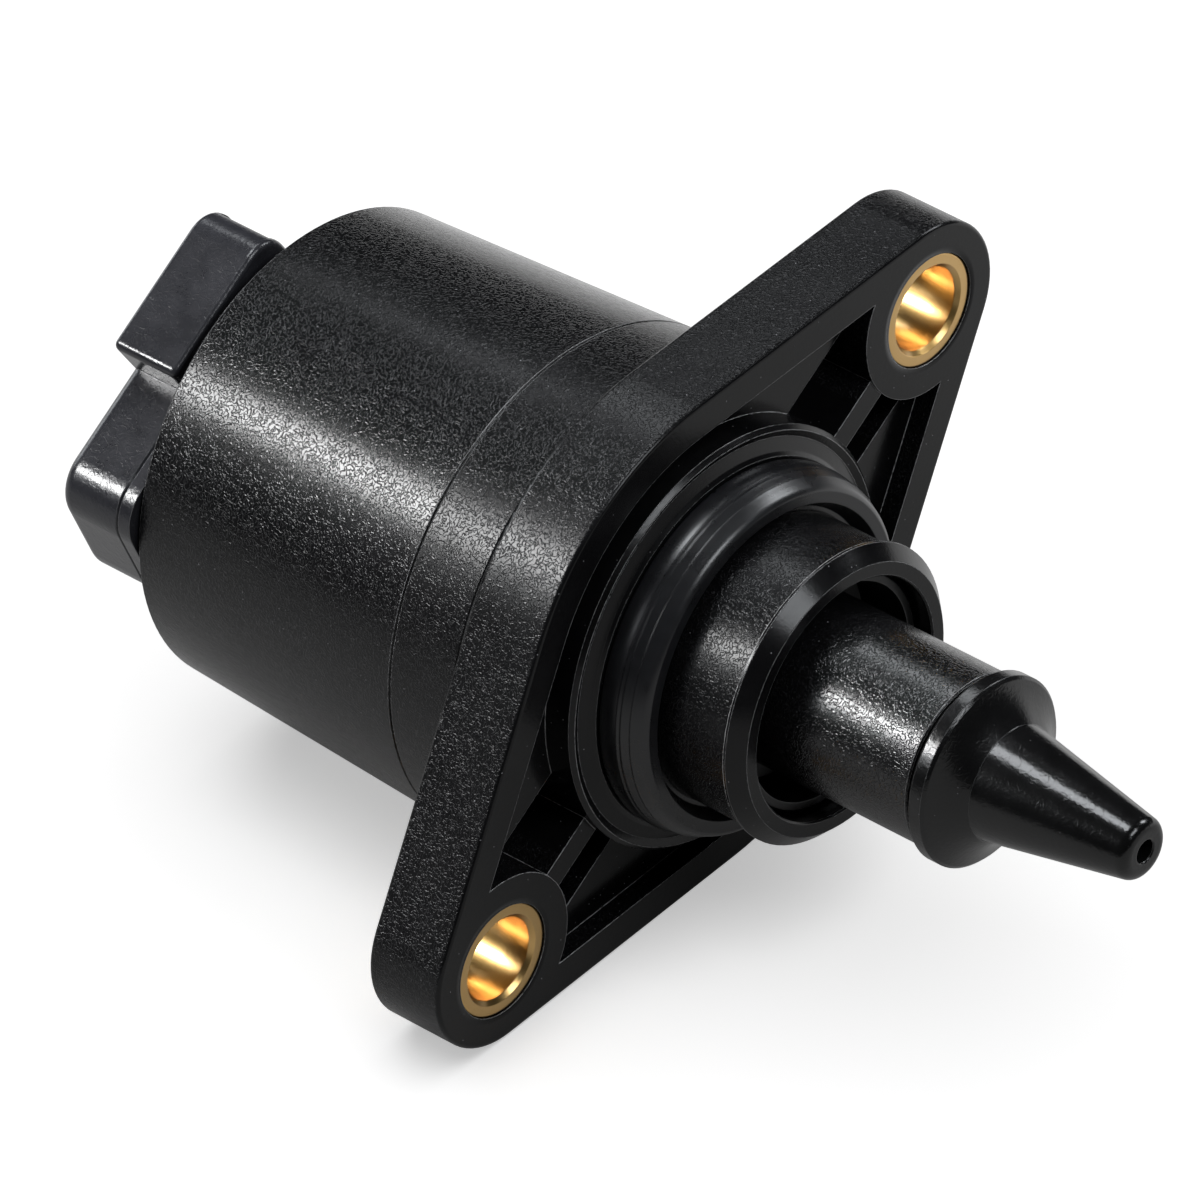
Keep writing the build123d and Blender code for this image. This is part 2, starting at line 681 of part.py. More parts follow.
with BuildPart() as bobbin_2:
    add(bobbin_1.part.moved(Location((-STACK_L, 0, 0))))
bobbin_2.part.label = "bobbin_2"
export_step(bobbin_2.part, "parts/bobbin_2.step")

with BuildPart() as coil_1:
    with BuildSketch(station(X_STATOR - STACK_L + CUP_T + BOBBIN_T)):
        Circle(R_COIL)
        Circle(R_BOBBIN + BOBBIN_T, mode=Mode.SUBTRACT)
    extrude(amount=STACK_L - 2 * CUP_T - 2 * BOBBIN_T)
coil_1.part.label = "coil_1"
export_step(coil_1.part, "parts/coil_1.step")

with BuildPart() as coil_2:
    add(coil_1.part.moved(Location((-STACK_L, 0, 0))))
coil_2.part.label = "coil_2"
export_step(coil_2.part, "parts/coil_2.step")

# Plain bearings
with BuildPart() as bearing_front:
    with BuildSketch(station(X_BEARING_F - L_BEARING_F)):
        Circle(R_BEARING_F)
        Circle(R_JOURNAL_F + JOURNAL_RUN, mode=Mode.SUBTRACT)
    extrude(amount=L_BEARING_F)
    chamfer(bearing_front.faces().sort_by(Axis.X)[0].edges(), length=BEARING_EDGE)
bearing_front.part.label = "bearing_front"
export_step(bearing_front.part, "parts/bearing_front.step")

with BuildPart() as bearing_rear:
    with BuildSketch(station(X_BEARING_R - L_BEARING_R)):
        Circle(R_BEARING_R)
        Circle(R_JOURNAL_R + JOURNAL_RUN, mode=Mode.SUBTRACT)
    extrude(amount=L_BEARING_R)
    chamfer(bearing_rear.faces().sort_by(Axis.X)[-1].edges(), length=BEARING_EDGE)
bearing_rear.part.label = "bearing_rear"
export_step(bearing_rear.part, "parts/bearing_rear.step")

# Rotor: hub with two journals and a drum under the ring magnet, and the threaded nut
with BuildPart() as rotor_hub:
    with BuildSketch(Plane.XY):
        with BuildLine():
            Polyline(
                (X_BEARING_R - L_BEARING_R + END_PLAY, 0),
                (X_BEARING_R - L_BEARING_R + END_PLAY, R_JOURNAL_R),
                (X_HUB_REAR, R_JOURNAL_R),
                (X_HUB_REAR, R_HUB),
                (X_DRUM_REAR, R_HUB),
                (X_DRUM_REAR, R_DRUM),
                (X_DRUM_FRONT, R_DRUM),
                (X_DRUM_FRONT, R_HUB),
                (X_HUB_FRONT, R_HUB),
                (X_HUB_FRONT, R_JOURNAL_F),
                (X_BEARING_F - JOURNAL_DROP, R_JOURNAL_F),
                (X_BEARING_F - JOURNAL_DROP, R_NUT),
                (X_NUT_REAR, R_NUT),
                (X_NUT_REAR, R_SCREW + SCREW_ROOM),
                (X_HUB_REAR + HUB_FLOOR, R_SCREW + SCREW_ROOM),
                (X_HUB_REAR + HUB_FLOOR, 0),
                close=True,
            )
        make_face()
    revolve(axis=Axis.X)
rotor_hub.part.label = "rotor_hub"
export_step(rotor_hub.part, "parts/rotor_hub.step")

with BuildPart() as rotor_magnet:
    with BuildSketch(station(X_DRUM_REAR)):
        Circle(R_MAGNET)
        Circle(R_DRUM, mode=Mode.SUBTRACT)
    extrude(amount=X_DRUM_FRONT - X_DRUM_REAR)
    magnet_rims = rotor_magnet.edges().filter_by(GeomType.CIRCLE)
    chamfer(magnet_rims.filter_by(lambda e: e.radius > R_DRUM + MAGNET_W / 2), length=MAGNET_EDGE)
rotor_magnet.part.label = "rotor_magnet"
export_step(rotor_magnet.part, "parts/rotor_magnet.step")

with BuildPart() as rotor_nut:
    with BuildSketch(station(X_NUT_REAR)):
        Circle(R_NUT)
        Circle(R_SCREW + SCREW_RUN, mode=Mode.SUBTRACT)
    extrude(amount=NUT_L)
    chamfer(rotor_nut.faces().sort_by(Axis.X)[-1].inner_wires()[0].edges(), length=NUT_EDGE)
rotor_nut.part.label = "rotor_nut"
export_step(rotor_nut.part, "parts/rotor_nut.step")

# Plunger: lead screw, sleeve with two key slots, pintle
with BuildPart() as lead_screw:
    with BuildSketch(station(X_SCREW_REAR)):
        Circle(R_SCREW)
    extrude(amount=X_SCREW_FRONT - X_SCREW_REAR)
    chamfer(lead_screw.faces().sort_by(Axis.X)[0].edges(), length=SCREW_EDGE)
lead_screw.part.label = "lead_screw"
export_step(lead_screw.part, "parts/lead_screw.step")

with BuildPart() as plunger_sleeve:
    with BuildSketch(Plane.XY):
        with BuildLine():
            Polyline(
                (X_SLEEVE_REAR, R_SCREW),
                (X_SLEEVE_REAR, R_SLEEVE - SLEEVE_EDGE),
                (X_SLEEVE_REAR + SLEEVE_EDGE, R_SLEEVE),
                (X_SLEEVE_END - END_EDGE, R_SLEEVE),
                (X_SLEEVE_END, R_SLEEVE - END_EDGE),
                (X_SLEEVE_END, R_SLEEVE_IN),
                (X_SCREW_FRONT, R_SLEEVE_IN),
                (X_SCREW_FRONT, R_SCREW),
                close=True,
            )
        make_face()
    revolve(axis=Axis.X)
    with BuildSketch(station(X_SLEEVE_REAR)):
        with PolarLocations(R_SLEEVE, 2, start_angle=KEY_START, angular_range=KEY_SWEEP):
            Rectangle(2 * (KEY_H + KEY_RUN), KEY_W + 2 * KEY_RUN)
    extrude(amount=X_LAND - X_SLEEVE_REAR + TRAVEL_BACK + BACK_ROOM, mode=Mode.SUBTRACT)
plunger_sleeve.part.label = "plunger_sleeve"
export_step(plunger_sleeve.part, "parts/plunger_sleeve.step")

with BuildPart() as pintle:
    with BuildSketch(Plane.XY) as pintle_half:
        with BuildLine():
            rear = Polyline(
                (X_SLEEVE_END - SHANK_L, 0),
                (X_SLEEVE_END - SHANK_L, R_SLEEVE_IN),
                (X_SLEEVE_END, R_SLEEVE_IN),
                (X_SLEEVE_END, R_SLEEVE - GROOVE_D),
                (X_DISC, R_SLEEVE - GROOVE_D),
                (X_DISC, R_DISC - DISC_EDGE),
                (X_DISC + DISC_EDGE, R_DISC),
                (X_DISC_FRONT - DISC_BEVEL, R_DISC),
                (X_DISC_FRONT, R_DISC - DISC_BEVEL),
            )
            SagittaArc(rear @ 1, (X_CONE, R_CONE), -SHOULDER_SAG)
            front = Polyline(
                (X_CONE, R_CONE),
                (X_TIP, R_TIP),
                (X_TIP, R_TIP_HOLE + TIP_HOLE_EDGE),
                (X_TIP - TIP_HOLE_EDGE, R_TIP_HOLE),
                (X_TIP - TIP_HOLE_L, R_TIP_HOLE),
                (X_TIP - TIP_HOLE_L - DRILL_POINT, 0),
            )
            Line(front @ 1, rear @ 0)
        make_face()
        fillet(pintle_half.vertices().sort_by_distance((X_TIP, R_TIP))[0], radius=TIP_ROUND)
    revolve(axis=Axis.X)
pintle.part.label = "pintle"
export_step(pintle.part, "parts/pintle.step")
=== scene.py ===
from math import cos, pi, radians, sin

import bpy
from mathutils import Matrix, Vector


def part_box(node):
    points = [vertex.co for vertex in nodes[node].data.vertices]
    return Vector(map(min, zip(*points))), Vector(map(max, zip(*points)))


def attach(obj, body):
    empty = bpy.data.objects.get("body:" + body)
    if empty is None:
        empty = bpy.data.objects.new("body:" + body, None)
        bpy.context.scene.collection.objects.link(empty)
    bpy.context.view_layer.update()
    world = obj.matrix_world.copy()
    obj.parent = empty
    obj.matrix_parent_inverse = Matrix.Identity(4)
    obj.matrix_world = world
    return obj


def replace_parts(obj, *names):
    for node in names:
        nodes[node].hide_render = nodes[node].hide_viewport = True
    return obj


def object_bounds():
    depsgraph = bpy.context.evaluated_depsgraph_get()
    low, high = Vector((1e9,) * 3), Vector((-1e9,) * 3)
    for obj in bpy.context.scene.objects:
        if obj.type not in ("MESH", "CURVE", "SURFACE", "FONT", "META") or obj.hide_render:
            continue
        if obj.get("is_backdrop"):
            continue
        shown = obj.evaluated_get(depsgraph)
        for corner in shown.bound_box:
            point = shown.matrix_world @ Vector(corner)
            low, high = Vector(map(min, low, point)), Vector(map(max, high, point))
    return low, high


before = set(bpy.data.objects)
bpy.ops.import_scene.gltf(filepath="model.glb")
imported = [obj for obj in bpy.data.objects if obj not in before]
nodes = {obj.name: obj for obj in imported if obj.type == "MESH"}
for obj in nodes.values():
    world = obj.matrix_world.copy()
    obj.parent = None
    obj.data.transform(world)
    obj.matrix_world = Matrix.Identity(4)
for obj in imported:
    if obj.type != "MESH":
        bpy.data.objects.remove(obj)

# %% [markdown]
# The valve as it comes from the drawing office
#
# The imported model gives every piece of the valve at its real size: the flanged nylon body, the motor
# case, the brass bushes, the seal and the sliding plunger. None of those solids is moved here. What is
# left to do is to give each one the surface that its maker gave it, to add the fine marks of moulding
# and turning, and to light the whole as a small part is lit on a white table.

MM = 0.001
cad_low, cad_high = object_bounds()
scene = bpy.context.scene
scene.view_settings.view_transform = "Standard"
FLOOR_Z = cad_low.z
print("nodes:", len(nodes), "floor at", round(FLOOR_Z / MM, 2), "mm")

# %% [markdown]
# Where the flange points
#
# The valve lies on one straight side of its flange, so the line through the two bolt holes is tilted.
# Finishes that follow the bushes or the ears need that line. It is read from the two bushes
# themselves, so nothing has to be typed in twice.

# %% The line through the two bushes


def middle(node):
    """The middle of a node's box."""
    low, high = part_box(node)
    return (low + high) / 2


BUSH_UP = middle("bush_upper")
BUSH_LOW = middle("bush_lower")
EAR_LINE = (BUSH_UP - BUSH_LOW).normalized()
print("ear line", [round(v, 3) for v in EAR_LINE])

# %% [markdown]
# Small helpers for shader trees
#
# Every finish below is a tree of a few nodes. Short helpers keep those trees readable: one feeds a
# node's sockets with links or plain values, one adds a node with its settings, and others add the
# nodes that come up again and again, such as a product, a mix of two colours, a range or a noise.

# %% Helpers that add nodes


def start_material(name):
    """A new material, its node tree and its main shader."""
    material = bpy.data.materials.new(name)
    material.use_nodes = True
    tree = material.node_tree
    return material, tree, tree.nodes["Principled BSDF"]


def feed(tree, node, inputs):
    """Link each input that is a socket, and set each one that is a plain value."""
    for key, value in inputs.items():
        if isinstance(value, bpy.types.NodeSocket):
            tree.links.new(value, node.inputs[key])
        else:
            node.inputs[key].default_value = value


def add_node(tree, kind, inputs=None, **settings):
    """A new node. Its settings come first, because they decide which sockets it has."""
    node = tree.nodes.new(kind)
    for key, value in settings.items():
        setattr(node, key, value)
    feed(tree, node, inputs or {})
    return node


def math_node(tree, operation, first, second=0.0, clamp=False):
    """The result of a Math node."""
    node = add_node(tree, "ShaderNodeMath", {0: first, 1: second}, operation=operation, use_clamp=clamp)
    return node.outputs[0]


def times(tree, first, second, clamp=False):
    """The product of two values."""
    return math_node(tree, "MULTIPLY", first, second, clamp)


def dot(tree, first, second):
    """How far one vector reaches along another."""
    node = add_node(tree, "ShaderNodeVectorMath", {0: first, 1: second}, operation="DOT_PRODUCT")
    return node.outputs["Value"]


def map_range(tree, value, low, high, to_low=0.0, to_high=1.0):
    """A value that goes from one range to another and stays inside it."""
    node = add_node(tree, "ShaderNodeMapRange", {0: value, 1: low, 2: high, 3: to_low, 4: to_high})
    return node.outputs[0]


def blend_colours(tree, factor, first, second):
    """A mix of two colours."""
    return add_node(tree, "ShaderNodeMix", {0: factor, 6: first, 7: second}, data_type="RGBA").outputs[2]


def noise(tree, point, scale, detail, distortion=0.0):
    """The value of a noise at a point."""
    inputs = {"Vector": point, "Scale": scale, "Detail": detail, "Distortion": distortion}
    return add_node(tree, "ShaderNodeTexNoise", inputs).outputs[0]


# %% [markdown]
# Node groups
#
# An effect that several finishes share is a node group: a small tree with named inputs and outputs
# that is built once and placed in each material. A group starts with its sockets and ends when its
# results are linked to the node that they leave by.

# %% Helpers that build and place groups
VECTOR = "NodeSocketVector"
FLOAT = "NodeSocketFloat"


def start_group(name, inputs, outputs):
    """A new group, what it is given, and the node that its results leave by."""
    group = bpy.data.node_groups.new(name, "ShaderNodeTree")
    for label, kind, default in inputs:
        socket = group.interface.new_socket(label, in_out="INPUT", socket_type=kind)
        if default is not None:
            socket.default_value = default
    for label, kind in outputs:
        group.interface.new_socket(label, in_out="OUTPUT", socket_type=kind)
    given = group.nodes.new("NodeGroupInput").outputs
    leave = group.nodes.new("NodeGroupOutput")
    return group, given, leave


def end_group(group, leave, results):
    """Link a group's results to the node that they leave by."""
    feed(group, leave, results)
    print("group ready:", group.name)


def use_group(tree, group, inputs):
    """The outputs of a group that is placed in a tree."""
    return add_node(tree, "ShaderNodeGroup", inputs, node_tree=group).outputs


# %% [markdown]
# Rounded and rubbed edges
#
# No moulded edge is quite sharp. The Bevel node looks round each edge and gives the normal that a
# small rounding would have, so a real edge's thin line of light appears. Where that normal leaves the
# surface's own one there is an edge, which also makes the mask for a pale line painted along it, a
# painted highlight. The bump helper lays a finish's relief over those rounded edges.

# %% Group: rounded edges and the mask of their painted highlight
EDGE_RADIUS = 0.12 * MM
EDGE_SAMPLES = 6
EDGE_STARTS, EDGE_FULL = 0.97, 0.8

EDGES, given, leave = start_group(
    "Rounded edges and painted highlight", [("Radius", FLOAT, EDGE_RADIUS)], [("Normal", VECTOR), ("Painted highlight", FLOAT)]
)
edge_bevel = add_node(EDGES, "ShaderNodeBevel", {"Radius": given["Radius"]}, samples=EDGE_SAMPLES)
rounded = edge_bevel.outputs[0]
own = EDGES.nodes.new("ShaderNodeNewGeometry").outputs["Normal"]
# Painted highlight: this mask marks where a pale line is painted along each edge.
edge_highlight = map_range(EDGES, dot(EDGES, rounded, own), EDGE_STARTS, EDGE_FULL)
end_group(EDGES, leave, {"Normal": rounded, "Painted highlight": edge_highlight})


def bump(tree, shader, height, distance):
    """Give a shader its relief and its rounded edges. The mask of the painted edge highlight comes back.
    """
    edge = use_group(tree, EDGES, {"Radius": EDGE_RADIUS})
    relief = {"Height": height, "Distance": distance, "Normal": edge["Normal"]}
    feed(tree, shader, {"Normal": add_node(tree, "ShaderNodeBump", relief).outputs[0]})
    return edge["Painted highlight"]


# %% [markdown]
# Polar coordinates about a turned axis
#
# Turned and moulded round pieces carry marks that follow the radius or the length. A group turns a
# point into its distance along X and its distance from a chosen axis, which later groups read.

# %% Group: along and around an axis
AROUND, given, leave = start_group(
    "Along and around",
    [("Vector", VECTOR, None), ("Centre", VECTOR, None)],
    [("Along", FLOAT), ("Radius", FLOAT)],
)
ends = {0: given["Vector"], 1: given["Centre"]}
offset = add_node(AROUND, "ShaderNodeVectorMath", ends, operation="SUBTRACT").outputs[0]
split = add_node(AROUND, "ShaderNodeSeparateXYZ", {0: offset}).outputs
squares = [math_node(AROUND, "POWER", split[axis], 2.0) for axis in ("Y", "Z")]
radius = math_node(AROUND, "SQRT", math_node(AROUND, "ADD", *squares))
end_group(AROUND, leave, {"Along": split["X"], "Radius": radius})

# %% [markdown]
# The spark-eroded grain of the mould
#
# The case, the band, the flange's edges, the nose tube and the sleeve have a fine leathery grain: short
# wandering ridges about a quarter of a millimetre apart, etched into the mould. The lines on which a
# noise crosses its middle value wander in just that way, so they become the ridges, and a finer noise
# roughens them. Single points, well under a millimetre apart and each with its own strength, are the
# ends of glass fibres that reach the surface.

# %% Group: leathery mould grain
NOISE_MIDDLE = 0.5
RIDGE_BAND, RIDGE_WANDER = 0.1, 0.5
FINER, FINE_SHARE = 2.3, 0.3
FIBRE_SCALE = 1500.0
FIBRE_EDGE, FIBRE_CORE = 0.08, 0.03

GRAIN, given, leave = start_group(
    "Mould grain",
    [("Vector", VECTOR, None), ("Scale", FLOAT, 2800.0)],
    [("Height", FLOAT), ("Speck", FLOAT)],
)
worms = noise(GRAIN, given["Vector"], given["Scale"], 0.0, RIDGE_WANDER)
from_middle = math_node(GRAIN, "ABSOLUTE", math_node(GRAIN, "SUBTRACT", worms, NOISE_MIDDLE))
ridge = map_range(GRAIN, from_middle, RIDGE_BAND, 0.0)
fine = noise(GRAIN, given["Vector"], times(GRAIN, given["Scale"], FINER), 1.0)
height = math_node(GRAIN, "ADD", ridge, times(GRAIN, fine, FINE_SHARE))
cells = {"Vector": given["Vector"], "Scale": FIBRE_SCALE}
fibres = add_node(GRAIN, "ShaderNodeTexVoronoi", cells).outputs
fibre_tone = add_node(GRAIN, "ShaderNodeSeparateColor", {0: fibres["Color"]}).outputs[0]
fibre_end = map_range(GRAIN, fibres["Distance"], FIBRE_EDGE, FIBRE_CORE)
end_group(GRAIN, leave, {"Height": height, "Speck": times(GRAIN, fibre_end, fibre_tone)})

# %% [markdown]
# Uneven sheen
#
# Moulded plastic never shines quite evenly: it is a little duller where the melt met the mould last
# and where fingers have touched it. A slow noise with a quicker one in it gives a cloud, which each
# finish uses for its colour and, between two roughnesses of its own, for its shine.

# %% Group: uneven sheen
SLOW_SCALE, SMEAR_SCALE = 140.0, 900.0
SLOW_SHARE, SMEAR_SHARE = 0.65, 0.35
CLOUD_LOW, CLOUD_HIGH = 0.32, 0.68

SHEEN, given, leave = start_group(
    "Uneven sheen",
    [("Vector", VECTOR, None), ("Low", FLOAT, 0.35), ("High", FLOAT, 0.5)],
    [("Roughness", FLOAT), ("Cloud", FLOAT)],
)
slow = times(SHEEN, noise(SHEEN, given["Vector"], SLOW_SCALE, 4.0), SLOW_SHARE)
smear = times(SHEEN, noise(SHEEN, given["Vector"], SMEAR_SCALE, 3.0), SMEAR_SHARE)
cloud = map_range(SHEEN, math_node(SHEEN, "ADD", slow, smear), CLOUD_LOW, CLOUD_HIGH)
rough = map_range(SHEEN, cloud, 0.0, 1.0, given["Low"], given["High"])
end_group(SHEEN, leave, {"Roughness": rough, "Cloud": cloud})


def uneven_sheen(tree, point, low, high):
    """The sheen group between two roughnesses."""
    return use_group(tree, SHEEN, {"Vector": point, "Low": low, "High": high})


# %% [markdown]
# Turning marks
#
# A lathe tool leaves fine rings. On a face they follow the radius and along a bore they follow the
# length, so one noise that runs along the sum of both gives rings everywhere.

# %% Group: lathe rings
BROAD_SHARE = 0.18

RINGS, given, leave = start_group(
    "Lathe rings",
    [("Vector", VECTOR, None), ("Centre", VECTOR, None), ("Pitch", FLOAT, 12000.0)],
    [("Height", FLOAT), ("Streak", FLOAT)],
)
polar = use_group(RINGS, AROUND, {"Vector": given["Vector"], "Centre": given["Centre"]})
run = math_node(RINGS, "ADD", polar["Along"], polar["Radius"])
broad_pitch = times(RINGS, given["Pitch"], BROAD_SHARE)
fine_rings, broad_rings = (
    add_node(RINGS, "ShaderNodeTexNoise", {"W": run, "Scale": pitch}, noise_dimensions="1D").outputs[0]
    for pitch in (given["Pitch"], broad_pitch)
)
end_group(RINGS, leave, {"Height": fine_rings, "Streak": broad_rings})

# %% [markdown]
# Which faces of the body are grained
#
# One mould made the whole flanged body, but its surfaces differ. The outside walls of the flange, the
# band behind it and the nose tube are grained, while the mounting face, the ribs, the collar and the
# lip are smooth. The mask below finds the grained zones from the place of a point and from the way
# its surface faces: walls face away from the X axis, so the X part of their normal is small.

# %% Sizes of the grained zones
SIDE_UP = Vector((0.0, 0.0, 1.0))
SIDE_TILT = 2 * SIDE_UP.dot(EAR_LINE) * EAR_LINE - SIDE_UP
FLANGE_HALF = -FLOOR_Z
WALL_LINE, WALL_BLUR = FLANGE_HALF - 1.0 * MM, 0.3 * MM
TIP_LINE, TIP_BLUR = (BUSH_UP - BUSH_LOW).length / 2 + 0.5 * MM, 0.5 * MM
TUBE_START, TUBE_START_BLUR = 4.0 * MM, 0.2 * MM
TUBE_BORE, TUBE_BORE_BLUR = 9.6 * MM, 0.1 * MM
TUBE_SKIN, TUBE_SKIN_BLUR = 10.15 * MM, 0.04 * MM
bush_low, bush_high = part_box("bush_upper")
FLANGE_BACK = bush_low.x
BAND_START = FLANGE_BACK - 0.1 * MM
FACE_FLAT, FACE_WALL = 0.55, 0.3


def soft_step(tree, value, edge, width):
    """0 below an edge and 1 above it, with a soft step of a given width."""
    return map_range(tree, value, edge - width / 2, edge + width / 2)


def reach(tree, point, direction):
    """How far a point lies to either side along a direction."""
    return math_node(tree, "ABSOLUTE", dot(tree, point, direction))


print("flange half width", round(FLANGE_HALF / MM, 2), "mm, back at", round(FLANGE_BACK / MM, 2), "mm")

# %% Group: grained zones of the flanged body
WALLS, given, leave = start_group(
    "Grained walls", [("Vector", VECTOR, None), ("Facing", VECTOR, None)], [("Mask", FLOAT)]
)
point = given["Vector"]
polar = use_group(WALLS, AROUND, {"Vector": point})
outside_bore = soft_step(WALLS, polar["Radius"], TUBE_BORE, TUBE_BORE_BLUR)
outside_skin = soft_step(WALLS, polar["Radius"], TUBE_SKIN, TUBE_SKIN_BLUR)
tube_start = soft_step(WALLS, polar["Along"], TUBE_START, TUBE_START_BLUR)
zones = times(WALLS, tube_start, math_node(WALLS, "SUBTRACT", outside_bore, outside_skin))
for zone in (
    soft_step(WALLS, reach(WALLS, point, SIDE_UP), WALL_LINE, WALL_BLUR),
    soft_step(WALLS, reach(WALLS, point, SIDE_TILT), WALL_LINE, WALL_BLUR),
    soft_step(WALLS, polar["Radius"], WALL_LINE, WALL_BLUR),
    soft_step(WALLS, reach(WALLS, point, EAR_LINE), TIP_LINE, TIP_BLUR),
    map_range(WALLS, polar["Along"], FLANGE_BACK, BAND_START),
):
    zones = math_node(WALLS, "MAXIMUM", zones, zone)
facing = add_node(WALLS, "ShaderNodeSeparateXYZ", {0: given["Facing"]}).outputs["X"]
wall = map_range(WALLS, math_node(WALLS, "ABSOLUTE", facing), FACE_FLAT, FACE_WALL)
end_group(WALLS, leave, {"Mask": times(WALLS, zones, wall, clamp=True)})

# %% [markdown]
# The crease and the dished seats of the body
#
# A fine crease runs round the body where the flange's back edge meets the band, and each brass bush
# sits in a shallow dish in the mounting face. Both are only an eighth of a millimetre or so deep, so
# they aren't modelled: a group gives their depth in metres, and the finish of the body takes it off
# its relief.

# %% Group: crease and dished seats
CREASE_HALF, CREASE_DEEP = 0.14 * MM, 0.14 * MM
DISH_WIDE, DISH_DEEP = 0.45 * MM, 0.12 * MM
FRONT_LINE, FRONT_BLUR = bush_high.x - 0.6 * MM, 0.1 * MM
bush_radius = (bush_high.y - bush_low.y) / 2

CUTS, given, leave = start_group("Crease and seats", [("Vector", VECTOR, None)], [("Depth", FLOAT)])
polar = use_group(CUTS, AROUND, {"Vector": given["Vector"]})
from_crease = math_node(CUTS, "ABSOLUTE", math_node(CUTS, "SUBTRACT", polar["Along"], BAND_START))
depth = map_range(CUTS, from_crease, CREASE_HALF, 0.0, 0.0, CREASE_DEEP)
front = soft_step(CUTS, polar["Along"], FRONT_LINE, FRONT_BLUR)
for centre in (BUSH_UP, BUSH_LOW):
    seat = use_group(CUTS, AROUND, {"Vector": given["Vector"], "Centre": centre})
    dish = map_range(CUTS, seat["Radius"], bush_radius + DISH_WIDE, bush_radius)
    dish = times(CUTS, math_node(CUTS, "POWER", dish, 2.0), DISH_DEEP)
    depth = math_node(CUTS, "MAXIMUM", depth, times(CUTS, dish, front))
end_group(CUTS, leave, {"Depth": depth})
print("bush radius", round(bush_radius / MM, 2), "mm")

# %% [markdown]
# Black nylon
#
# Glass-filled nylon is a deep neutral black with a soft shine. The motor case and the sleeve are
# grained all over. The flanged body is grained in its zones only, and has a faint unevenness and a
# sharper shine elsewhere. The tops of the ridges are painted a trace lighter, a painted glint that
# keeps the grain in sight between the streaks of light. Pale specks are glass fibres at the surface,
# and a noise breaks the painted highlight along the edges into a broken line.

# %% Helper: black nylon
BODY_BLACK = (0.0015, 0.0015, 0.0017, 1.0)
BODY_GREY = (0.004, 0.004, 0.0043, 1.0)
# Grey of the painted glint on the ridge tops of the grain.
PEAK_GLINT_GREY = (0.027, 0.027, 0.0282, 1.0)
# Pale grey of the painted highlight along the edges.
EDGE_HIGHLIGHT_GREY = (0.4, 0.4, 0.406, 1.0)
FIBRE_GREY = (0.24, 0.24, 0.25, 1.0)
PEAK_STARTS, PEAK_FULL = 0.92, 1.22
BROKEN_LOW, BROKEN_HIGH = 0.25, 0.5
FAINT_SCALE, FAINT_RELIEF = 3600.0, 0.45
NYLON_FIBRES = 0.8
NYLON_IOR = 1.34


def black_nylon(name, grain_scale, grain_depth, roughness, ior=NYLON_IOR, zones=None, smooth=None):
    """Nylon that is grained all over, or in zones only, with another roughness where it is smooth."""
    material, tree, shader = start_material(name)
    coords = tree.nodes.new("ShaderNodeTexCoord").outputs
    point = coords["Object"]
    grain = use_group(tree, GRAIN, {"Vector": point, "Scale": grain_scale})
    sheen = uneven_sheen(tree, point, *roughness)
    faint = noise(tree, point, FAINT_SCALE, 2.0)
    covered, shine, relief = 1.0, sheen["Roughness"], grain["Height"]
    if zones is not None:
        covered = use_group(tree, zones, {"Vector": point, "Facing": coords["Normal"]})["Mask"]
        smooth_shine = uneven_sheen(tree, point, *smooth)["Roughness"]
        shine = map_range(tree, covered, 0.0, 1.0, smooth_shine, shine)
        relief = map_range(tree, covered, 0.0, 1.0, times(tree, faint, FAINT_RELIEF), relief)
        cuts = use_group(tree, CUTS, {"Vector": point})["Depth"]
        relief = math_node(tree, "SUBTRACT", relief, math_node(tree, "DIVIDE", cuts, grain_depth))
    edge_highlight = bump(tree, shader, relief, grain_depth)
    # Painted glint: the ridge tops are painted lighter where the body is grained.
    peak_glint = times(tree, map_range(tree, grain["Height"], PEAK_STARTS, PEAK_FULL), covered)
    broken = times(tree, edge_highlight, map_range(tree, faint, BROKEN_LOW, BROKEN_HIGH), clamp=True)
    tone = blend_colours(tree, sheen["Cloud"], BODY_BLACK, BODY_GREY)
    tone = blend_colours(tree, peak_glint, tone, PEAK_GLINT_GREY)
    # Painted highlight: the edges are painted pale grey, broken by a noise.
    tone = blend_colours(tree, broken, tone, EDGE_HIGHLIGHT_GREY)
    tone = blend_colours(tree, times(tree, grain["Speck"], NYLON_FIBRES), tone, FIBRE_GREY)
    feed(tree, shader, {"Base Color": tone, "Roughness": shine, "IOR": ior})
    return material


# %% Materials: the three nylons
body_nylon = black_nylon(
    "Body nylon", 4200.0, 0.0118 * MM, (0.25, 0.28), ior=1.305, zones=WALLS, smooth=(0.18, 0.23)
)
case_nylon = black_nylon("Motor cylinder nylon", 4300.0, 0.01 * MM, (0.19, 0.22))
plunger_nylon = black_nylon("Plunger nylon", 4100.0, 0.0105 * MM, (0.22, 0.25), ior=1.5)
print("nylons:", body_nylon.name, case_nylon.name, plunger_nylon.name)

# %% [markdown]
# Smooth mouldings
#
# The connector and the cover come from polished mould halves, so they only have a faint orange peel.
# The pintle is the glossiest piece: air flows along it and it must not hold soot. The hub and the
# bobbins inside are made in the same way, with more roughness.

# %% Helper: smooth mouldings
PEEL_DETAIL = 3.0
PEEL_GRAIN_SCALE, PEEL_GRAIN_SHARE = 0.7, 0.3
MOULDING_EDGE_HIGHLIGHT = 0.3
MOULDING_FIBRES = 0.35


def place(tree):
    """The place of a point in the valve's own frame."""
    return tree.nodes.new("ShaderNodeTexCoord").outputs["Object"]


